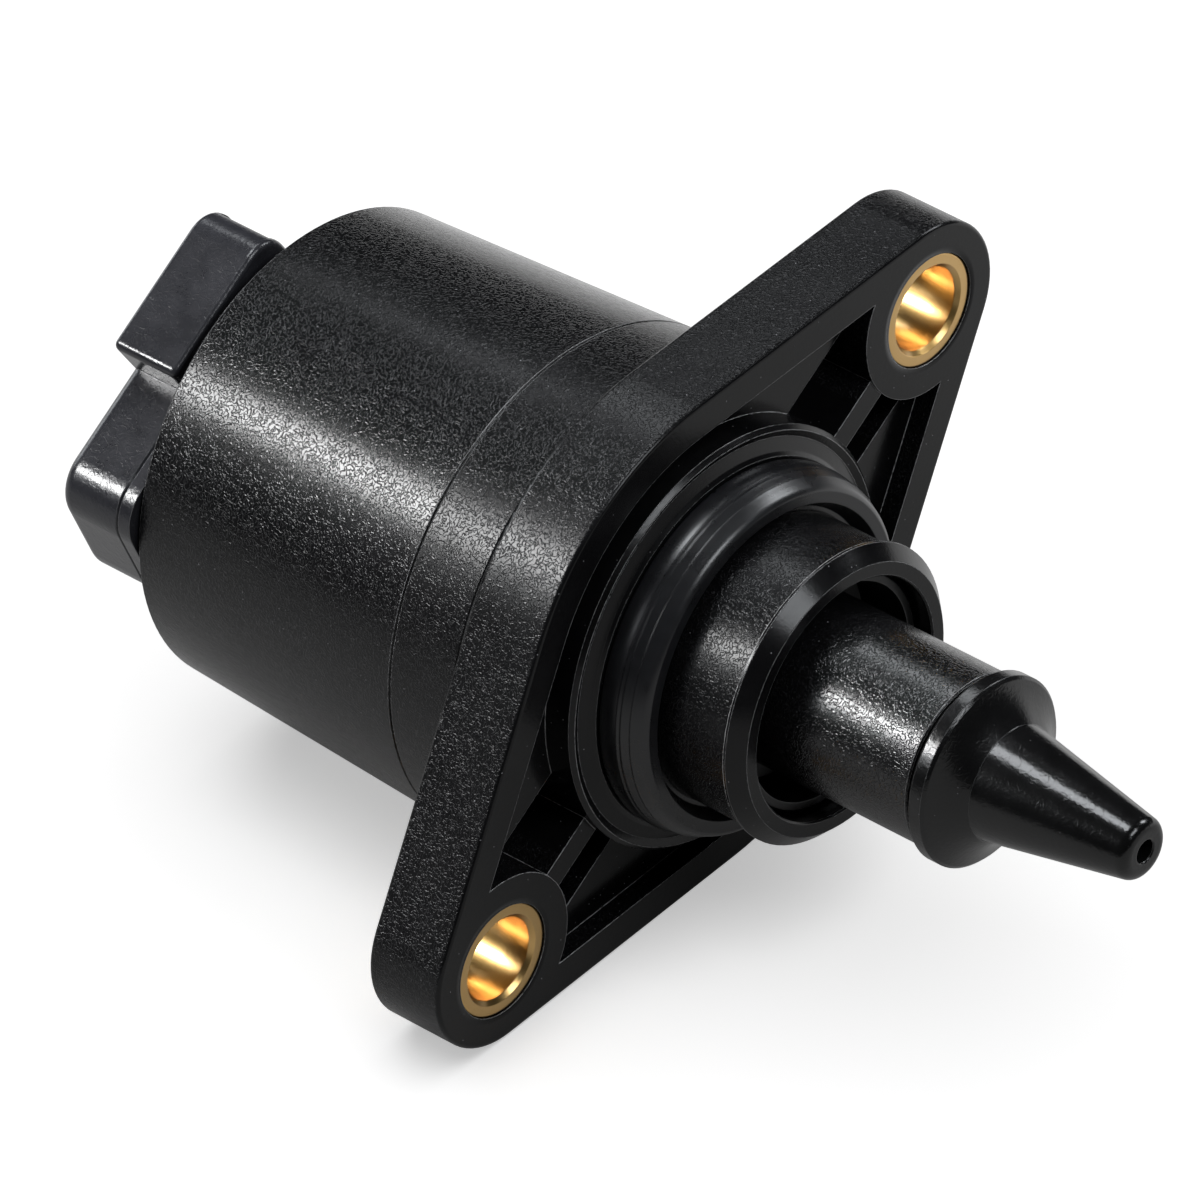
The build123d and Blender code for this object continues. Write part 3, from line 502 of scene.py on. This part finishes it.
def smooth_moulding(name, colours, roughness, peel_scale, peel_depth, ior=NYLON_IOR):
    """A moulding from a polished mould, with orange peel and a few fibres."""
    material, tree, shader = start_material(name)
    point = place(tree)
    sheen = uneven_sheen(tree, point, *roughness)
    peel = noise(tree, point, peel_scale, PEEL_DETAIL)
    grain = use_group(tree, GRAIN, {"Vector": point, "Scale": peel_scale * PEEL_GRAIN_SCALE})
    relief = math_node(tree, "ADD", peel, times(tree, grain["Height"], PEEL_GRAIN_SHARE))
    edge_highlight = bump(tree, shader, relief, peel_depth)
    tone = blend_colours(tree, sheen["Cloud"], *colours)
    # Painted highlight: the edges are painted pale grey.
    tone = blend_colours(tree, times(tree, edge_highlight, MOULDING_EDGE_HIGHLIGHT), tone, EDGE_HIGHLIGHT_GREY)
    tone = blend_colours(tree, times(tree, grain["Speck"], MOULDING_FIBRES), tone, FIBRE_GREY)
    feed(tree, shader, {"Base Color": tone, "Roughness": sheen["Roughness"], "IOR": ior})
    return material


# %% Materials: connector, cover, guide, pintle, hub and bobbins
PBT = (0.0095, 0.0097, 0.0116, 1.0), (0.0185, 0.0187, 0.0222, 1.0)
ACETAL = (0.002, 0.002, 0.002, 1.0), (0.004, 0.004, 0.0042, 1.0)
HUB_GREY = (0.012, 0.012, 0.013, 1.0), (0.03, 0.03, 0.032, 1.0)
CREAM = (0.55, 0.5, 0.4, 1.0), (0.68, 0.62, 0.5, 1.0)
connector_pbt, cover_pbt = (
    smooth_moulding(name, PBT, (0.2, 0.27), 3600.0, 0.011 * MM, ior=1.45)
    for name in ("Connector PBT", "Cover PBT")
)
guide_pom = smooth_moulding("Guide acetal", ACETAL, (0.3, 0.4), 3000.0, 0.006 * MM)
pintle_gloss = smooth_moulding("Pintle gloss", ACETAL, (0.16, 0.21), 3200.0, 0.009 * MM, ior=1.4)
hub_pbt = smooth_moulding("Hub PBT", HUB_GREY, (0.35, 0.5), 2600.0, 0.008 * MM)
bobbin_nylon = smooth_moulding("Bobbin nylon", CREAM, (0.4, 0.55), 2200.0, 0.006 * MM)
print("mouldings:", connector_pbt.name, cover_pbt.name, guide_pom.name, pintle_gloss.name)

# %% [markdown]
# Nitrile rubber for the seal
#
# The seal is satin black rubber. The turned mould left fine rings on it, and a faint bloom dulls the
# shine in patches.

# %% Material: seal rubber
RUBBER_BLACK = (0.004, 0.004, 0.0045, 1.0)
RUBBER_BLOOM = (0.009, 0.0092, 0.0105, 1.0)


def seal_material():
    """Satin rubber with the rings of its turned mould."""
    material, tree, shader = start_material("Seal nitrile")
    point = place(tree)
    sheen = uneven_sheen(tree, point, 0.24, 0.34)
    rings = use_group(tree, RINGS, {"Vector": point, "Pitch": 5200.0})
    bump(tree, shader, rings["Height"], 0.006 * MM)
    tone = blend_colours(tree, sheen["Cloud"], RUBBER_BLACK, RUBBER_BLOOM)
    feed(tree, shader, {"Base Color": tone, "Roughness": sheen["Roughness"], "IOR": 1.46})
    return material


seal_nitrile = seal_material()
print("rubber:", seal_nitrile.name)

# %% [markdown]
# Turned metals
#
# The bushes are turned brass, so rings run round each bore and across each rim. Each bush gets its own
# copy of the finish, because the rings must be centred on its own bore. The inside metals use the
# same group about the valve's axis. Each metal has a base colour, a brighter one in the streaks of the
# rings, and a tarnished one in clouds. A thin lacquer keeps the bushes bright.

# %% Helper: turned metals
ORIGIN = (0.0, 0.0, 0.0)
TARNISH_SHARE = 0.3
LACQUER_ROUGHNESS = 0.2


def turned_metal(name, colours, roughness, depth, pitch, centre=ORIGIN, lacquer=0.0):
    """A metal with lathe rings about an axis that runs along X through a centre."""
    material, tree, shader = start_material(name)
    point = place(tree)
    rings = use_group(tree, RINGS, {"Vector": point, "Centre": centre, "Pitch": pitch})
    sheen = uneven_sheen(tree, point, *roughness)
    bump(tree, shader, rings["Height"], depth)
    base, bright, tarnish = colours
    tone = blend_colours(tree, rings["Streak"], base, bright)
    tone = blend_colours(tree, times(tree, sheen["Cloud"], TARNISH_SHARE), tone, tarnish)
    feed(tree, shader, {"Base Color": tone, "Roughness": sheen["Roughness"], "Metallic": 1.0})
    feed(tree, shader, {"Coat Weight": lacquer, "Coat Roughness": LACQUER_ROUGHNESS})
    return material


# %% Materials: turned metals
BRASS = (0.57, 0.355, 0.12, 1.0), (0.64, 0.415, 0.16, 1.0), (0.49, 0.285, 0.075, 1.0)
STEEL = (0.5, 0.49, 0.47, 1.0), (0.62, 0.61, 0.59, 1.0), (0.42, 0.41, 0.4, 1.0)
TIN = (0.66, 0.65, 0.63, 1.0), (0.76, 0.75, 0.73, 1.0), (0.55, 0.54, 0.53, 1.0)
BRONZE = (0.42, 0.24, 0.11, 1.0), (0.5, 0.3, 0.15, 1.0), (0.3, 0.17, 0.08, 1.0)
brass_upper, brass_lower = (
    turned_metal(name, BRASS, (0.27, 0.34), 0.005 * MM, 7000.0, centre=bush, lacquer=0.5)
    for name, bush in (("Bush brass upper", BUSH_UP), ("Bush brass lower", BUSH_LOW))
)
nut_brass = turned_metal("Nut brass", BRASS, (0.2, 0.3), 0.006 * MM, 7000.0)
screw_steel = turned_metal("Screw steel", STEEL, (0.22, 0.32), 0.004 * MM, 9000.0)
stator_steel = turned_metal("Stator steel", STEEL, (0.3, 0.42), 0.004 * MM, 5000.0)
bearing_bronze = turned_metal("Bearing bronze", BRONZE, (0.38, 0.5), 0.008 * MM, 5000.0)
terminal_tin = turned_metal("Terminal tin", TIN, (0.22, 0.32), 0.003 * MM, 6000.0)
print("metals:", brass_upper.name, brass_lower.name, screw_steel.name, terminal_tin.name)

# %% [markdown]
# Magnet and windings
#
# The rotor's ring is sintered ferrite: dark, dull and slightly sparkling. The coils are enamelled
# copper wire, whose enamel is a little thicker and redder on some turns than on others.

# %% Material: ferrite
FERRITE_DARK = (0.03, 0.03, 0.032, 1.0)
FERRITE_SPARK = (0.14, 0.14, 0.145, 1.0)


def ferrite_material():
    """Dull ferrite with a few sparks."""
    material, tree, shader = start_material("Magnet ferrite")
    point = place(tree)
    grain = use_group(tree, GRAIN, {"Vector": point, "Scale": 4200.0})
    sheen = uneven_sheen(tree, point, 0.5, 0.65)
    bump(tree, shader, grain["Height"], 0.012 * MM)
    tone = blend_colours(tree, grain["Speck"], FERRITE_DARK, FERRITE_SPARK)
    feed(tree, shader, {"Base Color": tone, "Roughness": sheen["Roughness"]})
    return material


magnet_ferrite = ferrite_material()
print("magnet:", magnet_ferrite.name)

# %% Material: enamelled wire
COPPER_DARK = (0.5, 0.17, 0.06, 1.0)
COPPER_LIGHT = (0.66, 0.27, 0.11, 1.0)
ENAMEL_RED = (0.4, 0.1, 0.04, 1.0)
ENAMEL_SHARE = 0.5


def winding_material():
    """Copper under enamel that differs from turn to turn."""
    material, tree, shader = start_material("Coil copper")
    point = place(tree)
    sheen = uneven_sheen(tree, point, 0.24, 0.36)
    rings = use_group(tree, RINGS, {"Vector": point, "Pitch": 3600.0})
    tone = blend_colours(tree, sheen["Cloud"], COPPER_DARK, COPPER_LIGHT)
    tone = blend_colours(tree, times(tree, rings["Height"], ENAMEL_SHARE), tone, ENAMEL_RED)
    feed(tree, shader, {"Base Color": tone, "Roughness": sheen["Roughness"], "Metallic": 0.85})
    return material


coil_copper = winding_material()
print("wire:", coil_copper.name)

# %% [markdown]
# Giving each piece its finish
#
# The finishes go to the pieces by name. Groups of like pieces, such as the four stator cups, share a
# finish, so a short table of name beginnings is enough.

# %% Assign the finishes
FINISHES = {
    "flange_body": body_nylon,
    "motor_case": case_nylon,
    "rear_cover": cover_pbt,
    "connector_housing": connector_pbt,
    "bush_upper": brass_upper,
    "bush_lower": brass_lower,
    "seal_ring": seal_nitrile,
    "guide_ring": guide_pom,
    "plunger_sleeve": plunger_nylon,
    "pintle": pintle_gloss,
    "lead_screw": screw_steel,
    "rotor_hub": hub_pbt,
    "rotor_magnet": magnet_ferrite,
    "rotor_nut": nut_brass,
    "bearing": bearing_bronze,
    "bobbin": bobbin_nylon,
    "coil": coil_copper,
    "stator_cup": stator_steel,
    "terminal": terminal_tin,
}
for name, piece in nodes.items():
    finish = next(value for start, value in FINISHES.items() if name.startswith(start))
    piece.material_slots[0].material = finish
print("finished pieces:", len(nodes))

# %% [markdown]
# Drawing an outline and turning it
#
# The seal, the lead screw and the windings are round, so each can start as the outline of one side of
# its section. A plane's corners are merged to one point, and that point is extruded from place to
# place, as one would with the E key. The outline is then spun about the valve's axis, or carried round
# and along it by a Screw modifier. Each shape has its doubles merged and its normals made to agree.

# %% Helpers that draw and turn an outline
ALONG_X = (1.0, 0.0, 0.0)
DOUBLES = 0.001 * MM
SMOOTH_ANGLE = radians(25.0)


def clean_mesh():
    """Merge doubles, point the faces outwards and leave edit mode."""
    bpy.ops.mesh.select_all(action="SELECT")
    bpy.ops.mesh.remove_doubles(threshold=DOUBLES)
    bpy.ops.mesh.normals_make_consistent(inside=False)
    bpy.ops.object.mode_set(mode="OBJECT")


def draw_outline(name, points):
    """A line through points, each given by its place along X and its radius."""
    bpy.ops.object.select_all(action="DESELECT")
    bpy.ops.mesh.primitive_plane_add(size=MM)
    piece = bpy.context.object
    piece.name = name
    bpy.ops.object.mode_set(mode="EDIT")
    bpy.ops.mesh.select_all(action="SELECT")
    bpy.ops.mesh.merge(type="CENTER")
    here = Vector(ORIGIN)
    for along, radius in points:
        step = Vector((along, radius, 0.0)) - here
        if here.length == 0.0:
            bpy.ops.transform.translate(value=step)
        else:
            bpy.ops.mesh.extrude_region_move(TRANSFORM_OT_translate={"value": step})
        here += step
    clean_mesh()
    return piece


def spin_outline(name, points, steps):
    """An outline spun once about the valve's axis."""
    piece = draw_outline(name, points)
    bpy.ops.object.mode_set(mode="EDIT")
    bpy.ops.mesh.select_all(action="SELECT")
    bpy.ops.mesh.spin(steps=steps, angle=2 * pi, center=ORIGIN, axis=ALONG_X)
    clean_mesh()
    bpy.ops.object.shade_smooth_by_angle(angle=SMOOTH_ANGLE)
    return piece


def screw_along(piece, pitch, turns, steps):
    """Carry a section round the valve's axis and along it."""
    bpy.ops.object.modifier_add(type="SCREW")
    screw = piece.modifiers[-1]
    screw.axis = "X"
    screw.screw_offset = pitch
    screw.iterations = turns
    screw.steps = screw.render_steps = steps
    bpy.ops.object.modifier_apply(modifier=screw.name)
    bpy.ops.object.mode_set(mode="EDIT")
    clean_mesh()


def join_onto(piece):
    """Join what is selected onto a piece."""
    piece.select_set(True)
    bpy.context.view_layer.objects.active = piece
    bpy.ops.object.join()


# %% [markdown]
# The seal, with its mould lines
#
# The rubber seal was moulded in rings of steel, and rubber creeps into each joint between them. That
# leaves hair-fine ridges round the seal, which a solid drawn for fit leaves out. The outline follows
# the drawn seal and steps out a little at each joint.

# %% Outline of the seal
RIDGE_HIGH = 0.035 * MM
RIDGE_HALF = 0.05 * MM
CROWN_RIDGES, BEVEL_RIDGES = (0.3, 0.56), (0.15,)
TUBE_RADIUS = 9.95 * MM
FLAT_EDGE = 0.95 * MM
HOLLOW_DEEP, HOLLOW_STEP = 1.1 * MM, 0.35 * MM
seal_low, seal_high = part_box("seal_ring")
back_x, front_x, out_r = seal_low.x, seal_high.x, seal_high.y


def ridged(start, end, places):
    """A stretch of outline from its start on, with a fine ridge at each place along it."""
    points = [start]
    for share in places:
        along = start[0] + share * (end[0] - start[0])
        radius = start[1] + share * (end[1] - start[1])
        points.append((along - RIDGE_HALF, radius))
        points.append((along, radius + RIDGE_HIGH))
        points.append((along + RIDGE_HALF, radius))
    return points


# The corners are those of the drawn seal, measured from its back, its front and its outer edge.
crown = (back_x + 1.2 * MM, out_r)
bevel = (front_x - 1.15 * MM, out_r - 0.22 * MM)
slope = (front_x - 0.35 * MM, out_r - 0.55 * MM)
back_rounding = [
    (back_x, out_r - 0.35 * MM),
    (back_x + 0.15 * MM, out_r - 0.13 * MM),
    (back_x + 0.35 * MM, out_r - 0.05 * MM),
]
front_rounding = [slope, (front_x - 0.1 * MM, out_r - 0.75 * MM), (front_x, out_r - FLAT_EDGE)]
front_hollow = [
    (front_x, TUBE_RADIUS + FLAT_EDGE),
    (front_x - HOLLOW_DEEP, TUBE_RADIUS + HOLLOW_STEP),
    (front_x - HOLLOW_DEEP, TUBE_RADIUS),
]
seal_outline = [
    (back_x, TUBE_RADIUS),
    *back_rounding,
    *ridged(crown, bevel, CROWN_RIDGES),
    *ridged(bevel, slope, BEVEL_RIDGES),
    *front_rounding,
    *front_hollow,
    (back_x, TUBE_RADIUS),
]
print("seal outline:", len(seal_outline), "points")

# %% Seal
SEAL_STEPS = 180
seal = spin_outline("seal_moulded", seal_outline, SEAL_STEPS)
seal.data.materials.append(seal_nitrile)
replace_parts(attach(seal, "housing"), "seal_ring")
print("seal faces:", len(seal.data.polygons))

# %% [markdown]
# The lead screw, with its thread
#
# The drawn screw is a plain rod at the thread's outer size. One pitch of the thread is drawn as an
# outline, a Screw modifier carries it along the rod, and two cuts with Bisect trim it to the drawn
# length. The plain shank, which is moulded into the sleeve, is turned and joined on.

# %% Thread of the lead screw
PITCH = 1.0 * MM
THREAD_DEEP = 0.6 * MM
THREAD_STEPS = 40
screw_low, screw_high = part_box("lead_screw")
shank_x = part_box("plunger_sleeve")[0].x
crest_r = screw_high.y
root_r = crest_r - THREAD_DEEP
start_x = screw_low.x - 2 * PITCH
thread_shares = (0.0, 0.22, 0.42, 0.58, 0.78, 1.0)
thread_radii = (root_r, root_r, crest_r, crest_r, root_r, root_r)
thread_outline = [(start_x + share * PITCH, r) for share, r in zip(thread_shares, thread_radii)]
thread = draw_outline("lead_screw_threaded", thread_outline)
screw_along(thread, PITCH, int((shank_x - start_x) / PITCH) + 2, THREAD_STEPS)
bpy.ops.object.mode_set(mode="EDIT")
for cut_x, keep_front in ((screw_low.x, True), (shank_x, False)):
    bpy.ops.mesh.select_all(action="SELECT")
    bpy.ops.mesh.bisect(
        plane_co=(cut_x, 0.0, 0.0),
        plane_no=ALONG_X,
        use_fill=True,
        clear_inner=keep_front,
        clear_outer=not keep_front,
    )
clean_mesh()
bpy.ops.object.shade_smooth_by_angle(angle=SMOOTH_ANGLE)
print("thread faces:", len(thread.data.polygons))

# %% Shank of the lead screw
SHANK_EDGE = 0.2 * MM
SHANK_STEPS = 48
shank_outline = [
    (shank_x, 0.0),
    (shank_x, crest_r),
    (screw_high.x - SHANK_EDGE, crest_r),
    (screw_high.x, crest_r - SHANK_EDGE),
    (screw_high.x, 0.0),
]
spin_outline("screw_shank", shank_outline, SHANK_STEPS)
join_onto(thread)
thread.data.materials.append(screw_steel)
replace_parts(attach(thread, "plunger"), "lead_screw")
print("screw faces:", len(thread.data.polygons))

# %% [markdown]
# The windings, turn by turn
#
# Each coil is one long enamelled wire. A small circle is carried round and along by a Screw modifier,
# which lays the outer layer turn by turn, and a plain ring under it stands for the layers below. The
# second coil is a copy of the first, moved along the axis.

# %% Outer layer of a winding
WIRE = 0.28 * MM
WIRE_SIDES = 8
WIRE_STEPS = 72
coil_low, coil_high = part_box("coil_1")
lay_r = coil_high.y - WIRE / 2
wire_start = (coil_low.x + WIRE / 2, lay_r, 0.0)
bpy.ops.object.select_all(action="DESELECT")
bpy.ops.mesh.primitive_circle_add(vertices=WIRE_SIDES, radius=WIRE / 2, location=wire_start)
wire = bpy.context.object
wire.name = "coil_wound_1"
bpy.ops.object.transform_apply(location=True)
screw_along(wire, WIRE, round((coil_high.x - coil_low.x) / WIRE) - 1, WIRE_STEPS)
bpy.ops.object.mode_set(mode="EDIT")
bpy.ops.mesh.select_all(action="SELECT")
bpy.ops.mesh.fill_holes(sides=0)
clean_mesh()
bpy.ops.object.shade_smooth()
print("outer layer faces:", len(wire.data.polygons))

# %% Layers below and the second winding
COIL_INNER = 10.9 * MM
UNDER_STEPS = 96
under_r = lay_r - WIRE / 4
under_outline = [
    (coil_low.x, COIL_INNER),
    (coil_low.x, under_r),
    (coil_high.x, under_r),
    (coil_high.x, COIL_INNER),
    (coil_low.x, COIL_INNER),
]
spin_outline("coil_under_layers", under_outline, UNDER_STEPS)
join_onto(wire)
wire.data.materials.append(coil_copper)
bpy.ops.object.select_all(action="DESELECT")
wire.select_set(True)
bpy.ops.object.duplicate(linked=False)
second_wire = bpy.context.object
second_wire.name = "coil_wound_2"
bpy.ops.transform.translate(value=middle("coil_2") - middle("coil_1"))
bpy.ops.object.transform_apply(location=True)
for winding, node in ((wire, "coil_1"), (second_wire, "coil_2")):
    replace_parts(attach(winding, "housing"), node)
print("winding faces:", len(wire.data.polygons))

# %% [markdown]
# The table
#
# The floor is a wide pale sheet. What the camera sees of it is the light that it reflects, which
# carries the soft shadow, with a share of plain white added, so that the open sheet is white. An
# occlusion node takes some of that share away close to the piece, a painted shadow that is darkest
# next to it.
# Glossy surfaces see the white too, as a painted reflection: it is strong behind the piece and weak
# in front, and toward the front left the sheet is painted dark for glossy rays only, a painted shade
# in reflections.

# %% Floor sheet
TABLE_SIZE = 6.0
bpy.ops.object.select_all(action="DESELECT")
bpy.ops.mesh.primitive_plane_add(size=TABLE_SIZE, location=(0.0, 0.0, FLOOR_Z))
floor = bpy.context.object
floor.name = "floor"
print("floor ready at", round(floor.location.z / MM, 2), "mm")

# %% Material: table
TABLE_PAINT, REFLECTION_SHADE_DARK = (0.88, 0.88, 0.88, 1.0), (0.08, 0.08, 0.08, 1.0)
WHITE_SHARE = 0.69
BACK_SHARE, FRONT_SHARE = 0.75, 0.13
SHADE_WAY, SHADE_STARTS, SHADE_FULL = (0.25, 0.97, 0.0), -0.1, -0.25
BACK_WAY, BACK_STARTS, BACK_FULL = (-0.4, 0.92, 0.0), 0.025, 0.075
SKY_REACH, SKY_SAMPLES = 0.01, 8
SKY_LOW, SKY_HIGH, SKY_LEAST = 0.4, 0.8, 0.7

material, tree, shader = start_material("Table white")
point = place(tree)
rays = tree.nodes.new("ShaderNodeLightPath").outputs
mirror = rays["Is Glossy Ray"]
# Painted shade in reflections: glossy rays see the sheet painted dark toward the front left.
reflection_shade = times(tree, mirror, map_range(tree, dot(tree, point, SHADE_WAY), SHADE_STARTS, SHADE_FULL))
paint = blend_colours(tree, reflection_shade, TABLE_PAINT, REFLECTION_SHADE_DARK)
feed(tree, shader, {"Base Color": paint, "Roughness": 0.9, "Specular IOR Level": 0.1})
seen = math_node(tree, "MAXIMUM", rays["Is Camera Ray"], rays["Is Transmission Ray"])
# Painted reflection: glossy rays see more added white behind the piece than in front.
back_way = dot(tree, point, BACK_WAY)
mirrored = map_range(tree, back_way, BACK_STARTS, BACK_FULL, FRONT_SHARE, BACK_SHARE)
white = math_node(tree, "MAXIMUM", times(tree, seen, WHITE_SHARE), times(tree, mirror, mirrored))
# Painted shadow: occlusion darkens the added white close to the piece.
sky = add_node(tree, "ShaderNodeAmbientOcclusion", {"Distance": SKY_REACH}, samples=SKY_SAMPLES)
open_sky = map_range(tree, sky.outputs["AO"], SKY_LOW, SKY_HIGH, SKY_LEAST, 1.0)
glow = add_node(tree, "ShaderNodeEmission", {"Strength": times(tree, white, open_sky)})
total = add_node(tree, "ShaderNodeAddShader", {0: shader.outputs[0], 1: glow.outputs[0]})
feed(tree, tree.nodes["Material Output"], {"Surface": total.outputs[0]})
floor.data.materials.append(material)
floor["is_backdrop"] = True
print("table painted:", material.name)

# %% [markdown]
# Studio light
#
# Black pieces are drawn by what they reflect. A large sheet of light overhead gives the floor its
# white and its soft shadow; it is hidden from reflections, so it lays no haze on the black. Seven
# small soft boxes draw the streaks: the left one along the case, the nose and the sleeve, its fill
# below it, one behind for the second streak, one above for the pintle, two for the bevels of the
# collar, the seal and the lip, and one at the rear, so that the cover and the connector's socket show
# when the valve is turned round. They skip the table, so that they leave no hard shadow on it. All
# but the left one are a trace cooler. The world stays nearly black, which keeps the bands between
# the streaks dark.

# %% Helper: soft boxes


def soft_box(name, direction, distance, width, height, radiance):
    """A soft box that hangs in a direction from the origin and faces it."""
    light = bpy.data.lights.new(name, "AREA")
    light.shape = "RECTANGLE"
    light.size = width
    light.size_y = height
    light.energy = radiance * pi * width * height
    lamp = bpy.data.objects.new(name, light)
    scene.collection.objects.link(lamp)
    toward = Vector(direction).normalized()
    lamp.location = toward * distance
    lamp.rotation_euler = toward.to_track_quat("Z", "Y").to_euler()
    print(name, "power", round(light.energy, 2), "W")
    return lamp


# %% Soft boxes
BOX_DISTANCE = 0.7
COOL = (0.93, 0.965, 1.0)
overhead = soft_box("overhead_sheet", (-0.04, 0.1, 1.0), 1.0, 1.7, 1.7, 1.05)
overhead.visible_glossy = False
# Each box has a name, a direction, a distance, a width and a height in metres, and a radiance.
streak_boxes = (
    soft_box("left_box", (-0.594, -0.564, 0.574), BOX_DISTANCE, 0.2, 0.13, 54.0),
    soft_box("left_fill", (-0.424, -0.734, 0.53), BOX_DISTANCE, 0.2, 0.2, 6.0),
    soft_box("back_box", (-0.47, 0.396, 0.788), BOX_DISTANCE, 0.2, 0.2, 5.5),
    soft_box("crown_box", (-0.229, -0.013, 0.974), BOX_DISTANCE, 0.22, 0.22, 15.5),
    soft_box("front_box", (0.7, 0.09, 0.7), BOX_DISTANCE, 0.28, 0.2, 11.0),
    soft_box("side_box", (0.28, 0.775, 0.57), BOX_DISTANCE, 0.2, 0.2, 14.0),
    soft_box("rear_box", (-0.97, 0.08, 0.23), BOX_DISTANCE, 0.3, 0.22, 4.0),
)
SKIP_TABLE = bpy.data.collections.new("Skip the table")
SKIP_TABLE.objects.link(floor)
SKIP_TABLE.collection_objects[0].light_linking.link_state = "EXCLUDE"
for streak_box in streak_boxes:
    streak_box.light_linking.receiver_collection = SKIP_TABLE
for cool_box in streak_boxes[1:]:
    cool_box.data.color = COOL

# %% World
WORLD_TINT, WORLD_STRENGTH = (0.9, 0.95, 1.0, 1.0), 0.02
world = bpy.data.worlds.new("Studio")
world.use_nodes = True
background = world.node_tree.nodes["Background"]
feed(world.node_tree, background, {"Color": WORLD_TINT, "Strength": WORLD_STRENGTH})
scene.world = world
print("world strength", WORLD_STRENGTH)

# %% [markdown]
# The camera
#
# The photograph was taken with a long lens from above and in front of the nose, a little turned about
# the line of sight. The camera is built from its aim point, two angles, the roll and the distance.

# %% Camera
AIM = Vector((-6.35, -3.81, 2.25)) * MM
AZIMUTH = radians(-44.85)
ELEVATION = radians(39.04)
ROLL = radians(-5.41)
DISTANCE = 1.0
SENSOR_WIDTH, LENS = 36.0, 473.5
back = Vector((cos(ELEVATION) * cos(AZIMUTH), cos(ELEVATION) * sin(AZIMUTH), sin(ELEVATION)))
level = Vector((-sin(AZIMUTH), cos(AZIMUTH), 0.0))
upright = back.cross(level)
right = level * cos(ROLL) + upright * sin(ROLL)
up = back.cross(right)
camera_data = bpy.data.cameras.new("Camera")
camera_data.sensor_width = SENSOR_WIDTH
camera_data.lens = LENS
camera = bpy.data.objects.new("Camera", camera_data)
scene.collection.objects.link(camera)
turn = Matrix((right, up, back)).transposed().to_4x4()
camera.matrix_world = Matrix.Translation(AIM + back * DISTANCE) @ turn
scene.camera = camera
print("camera at", [round(v, 3) for v in camera.matrix_world.translation])

# %% Sizes and finish
new_low, new_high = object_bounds()
past = max(*(cad_low - new_low), *(new_high - cad_high))
print("past the drawn box by", round(past / MM, 3), "mm")
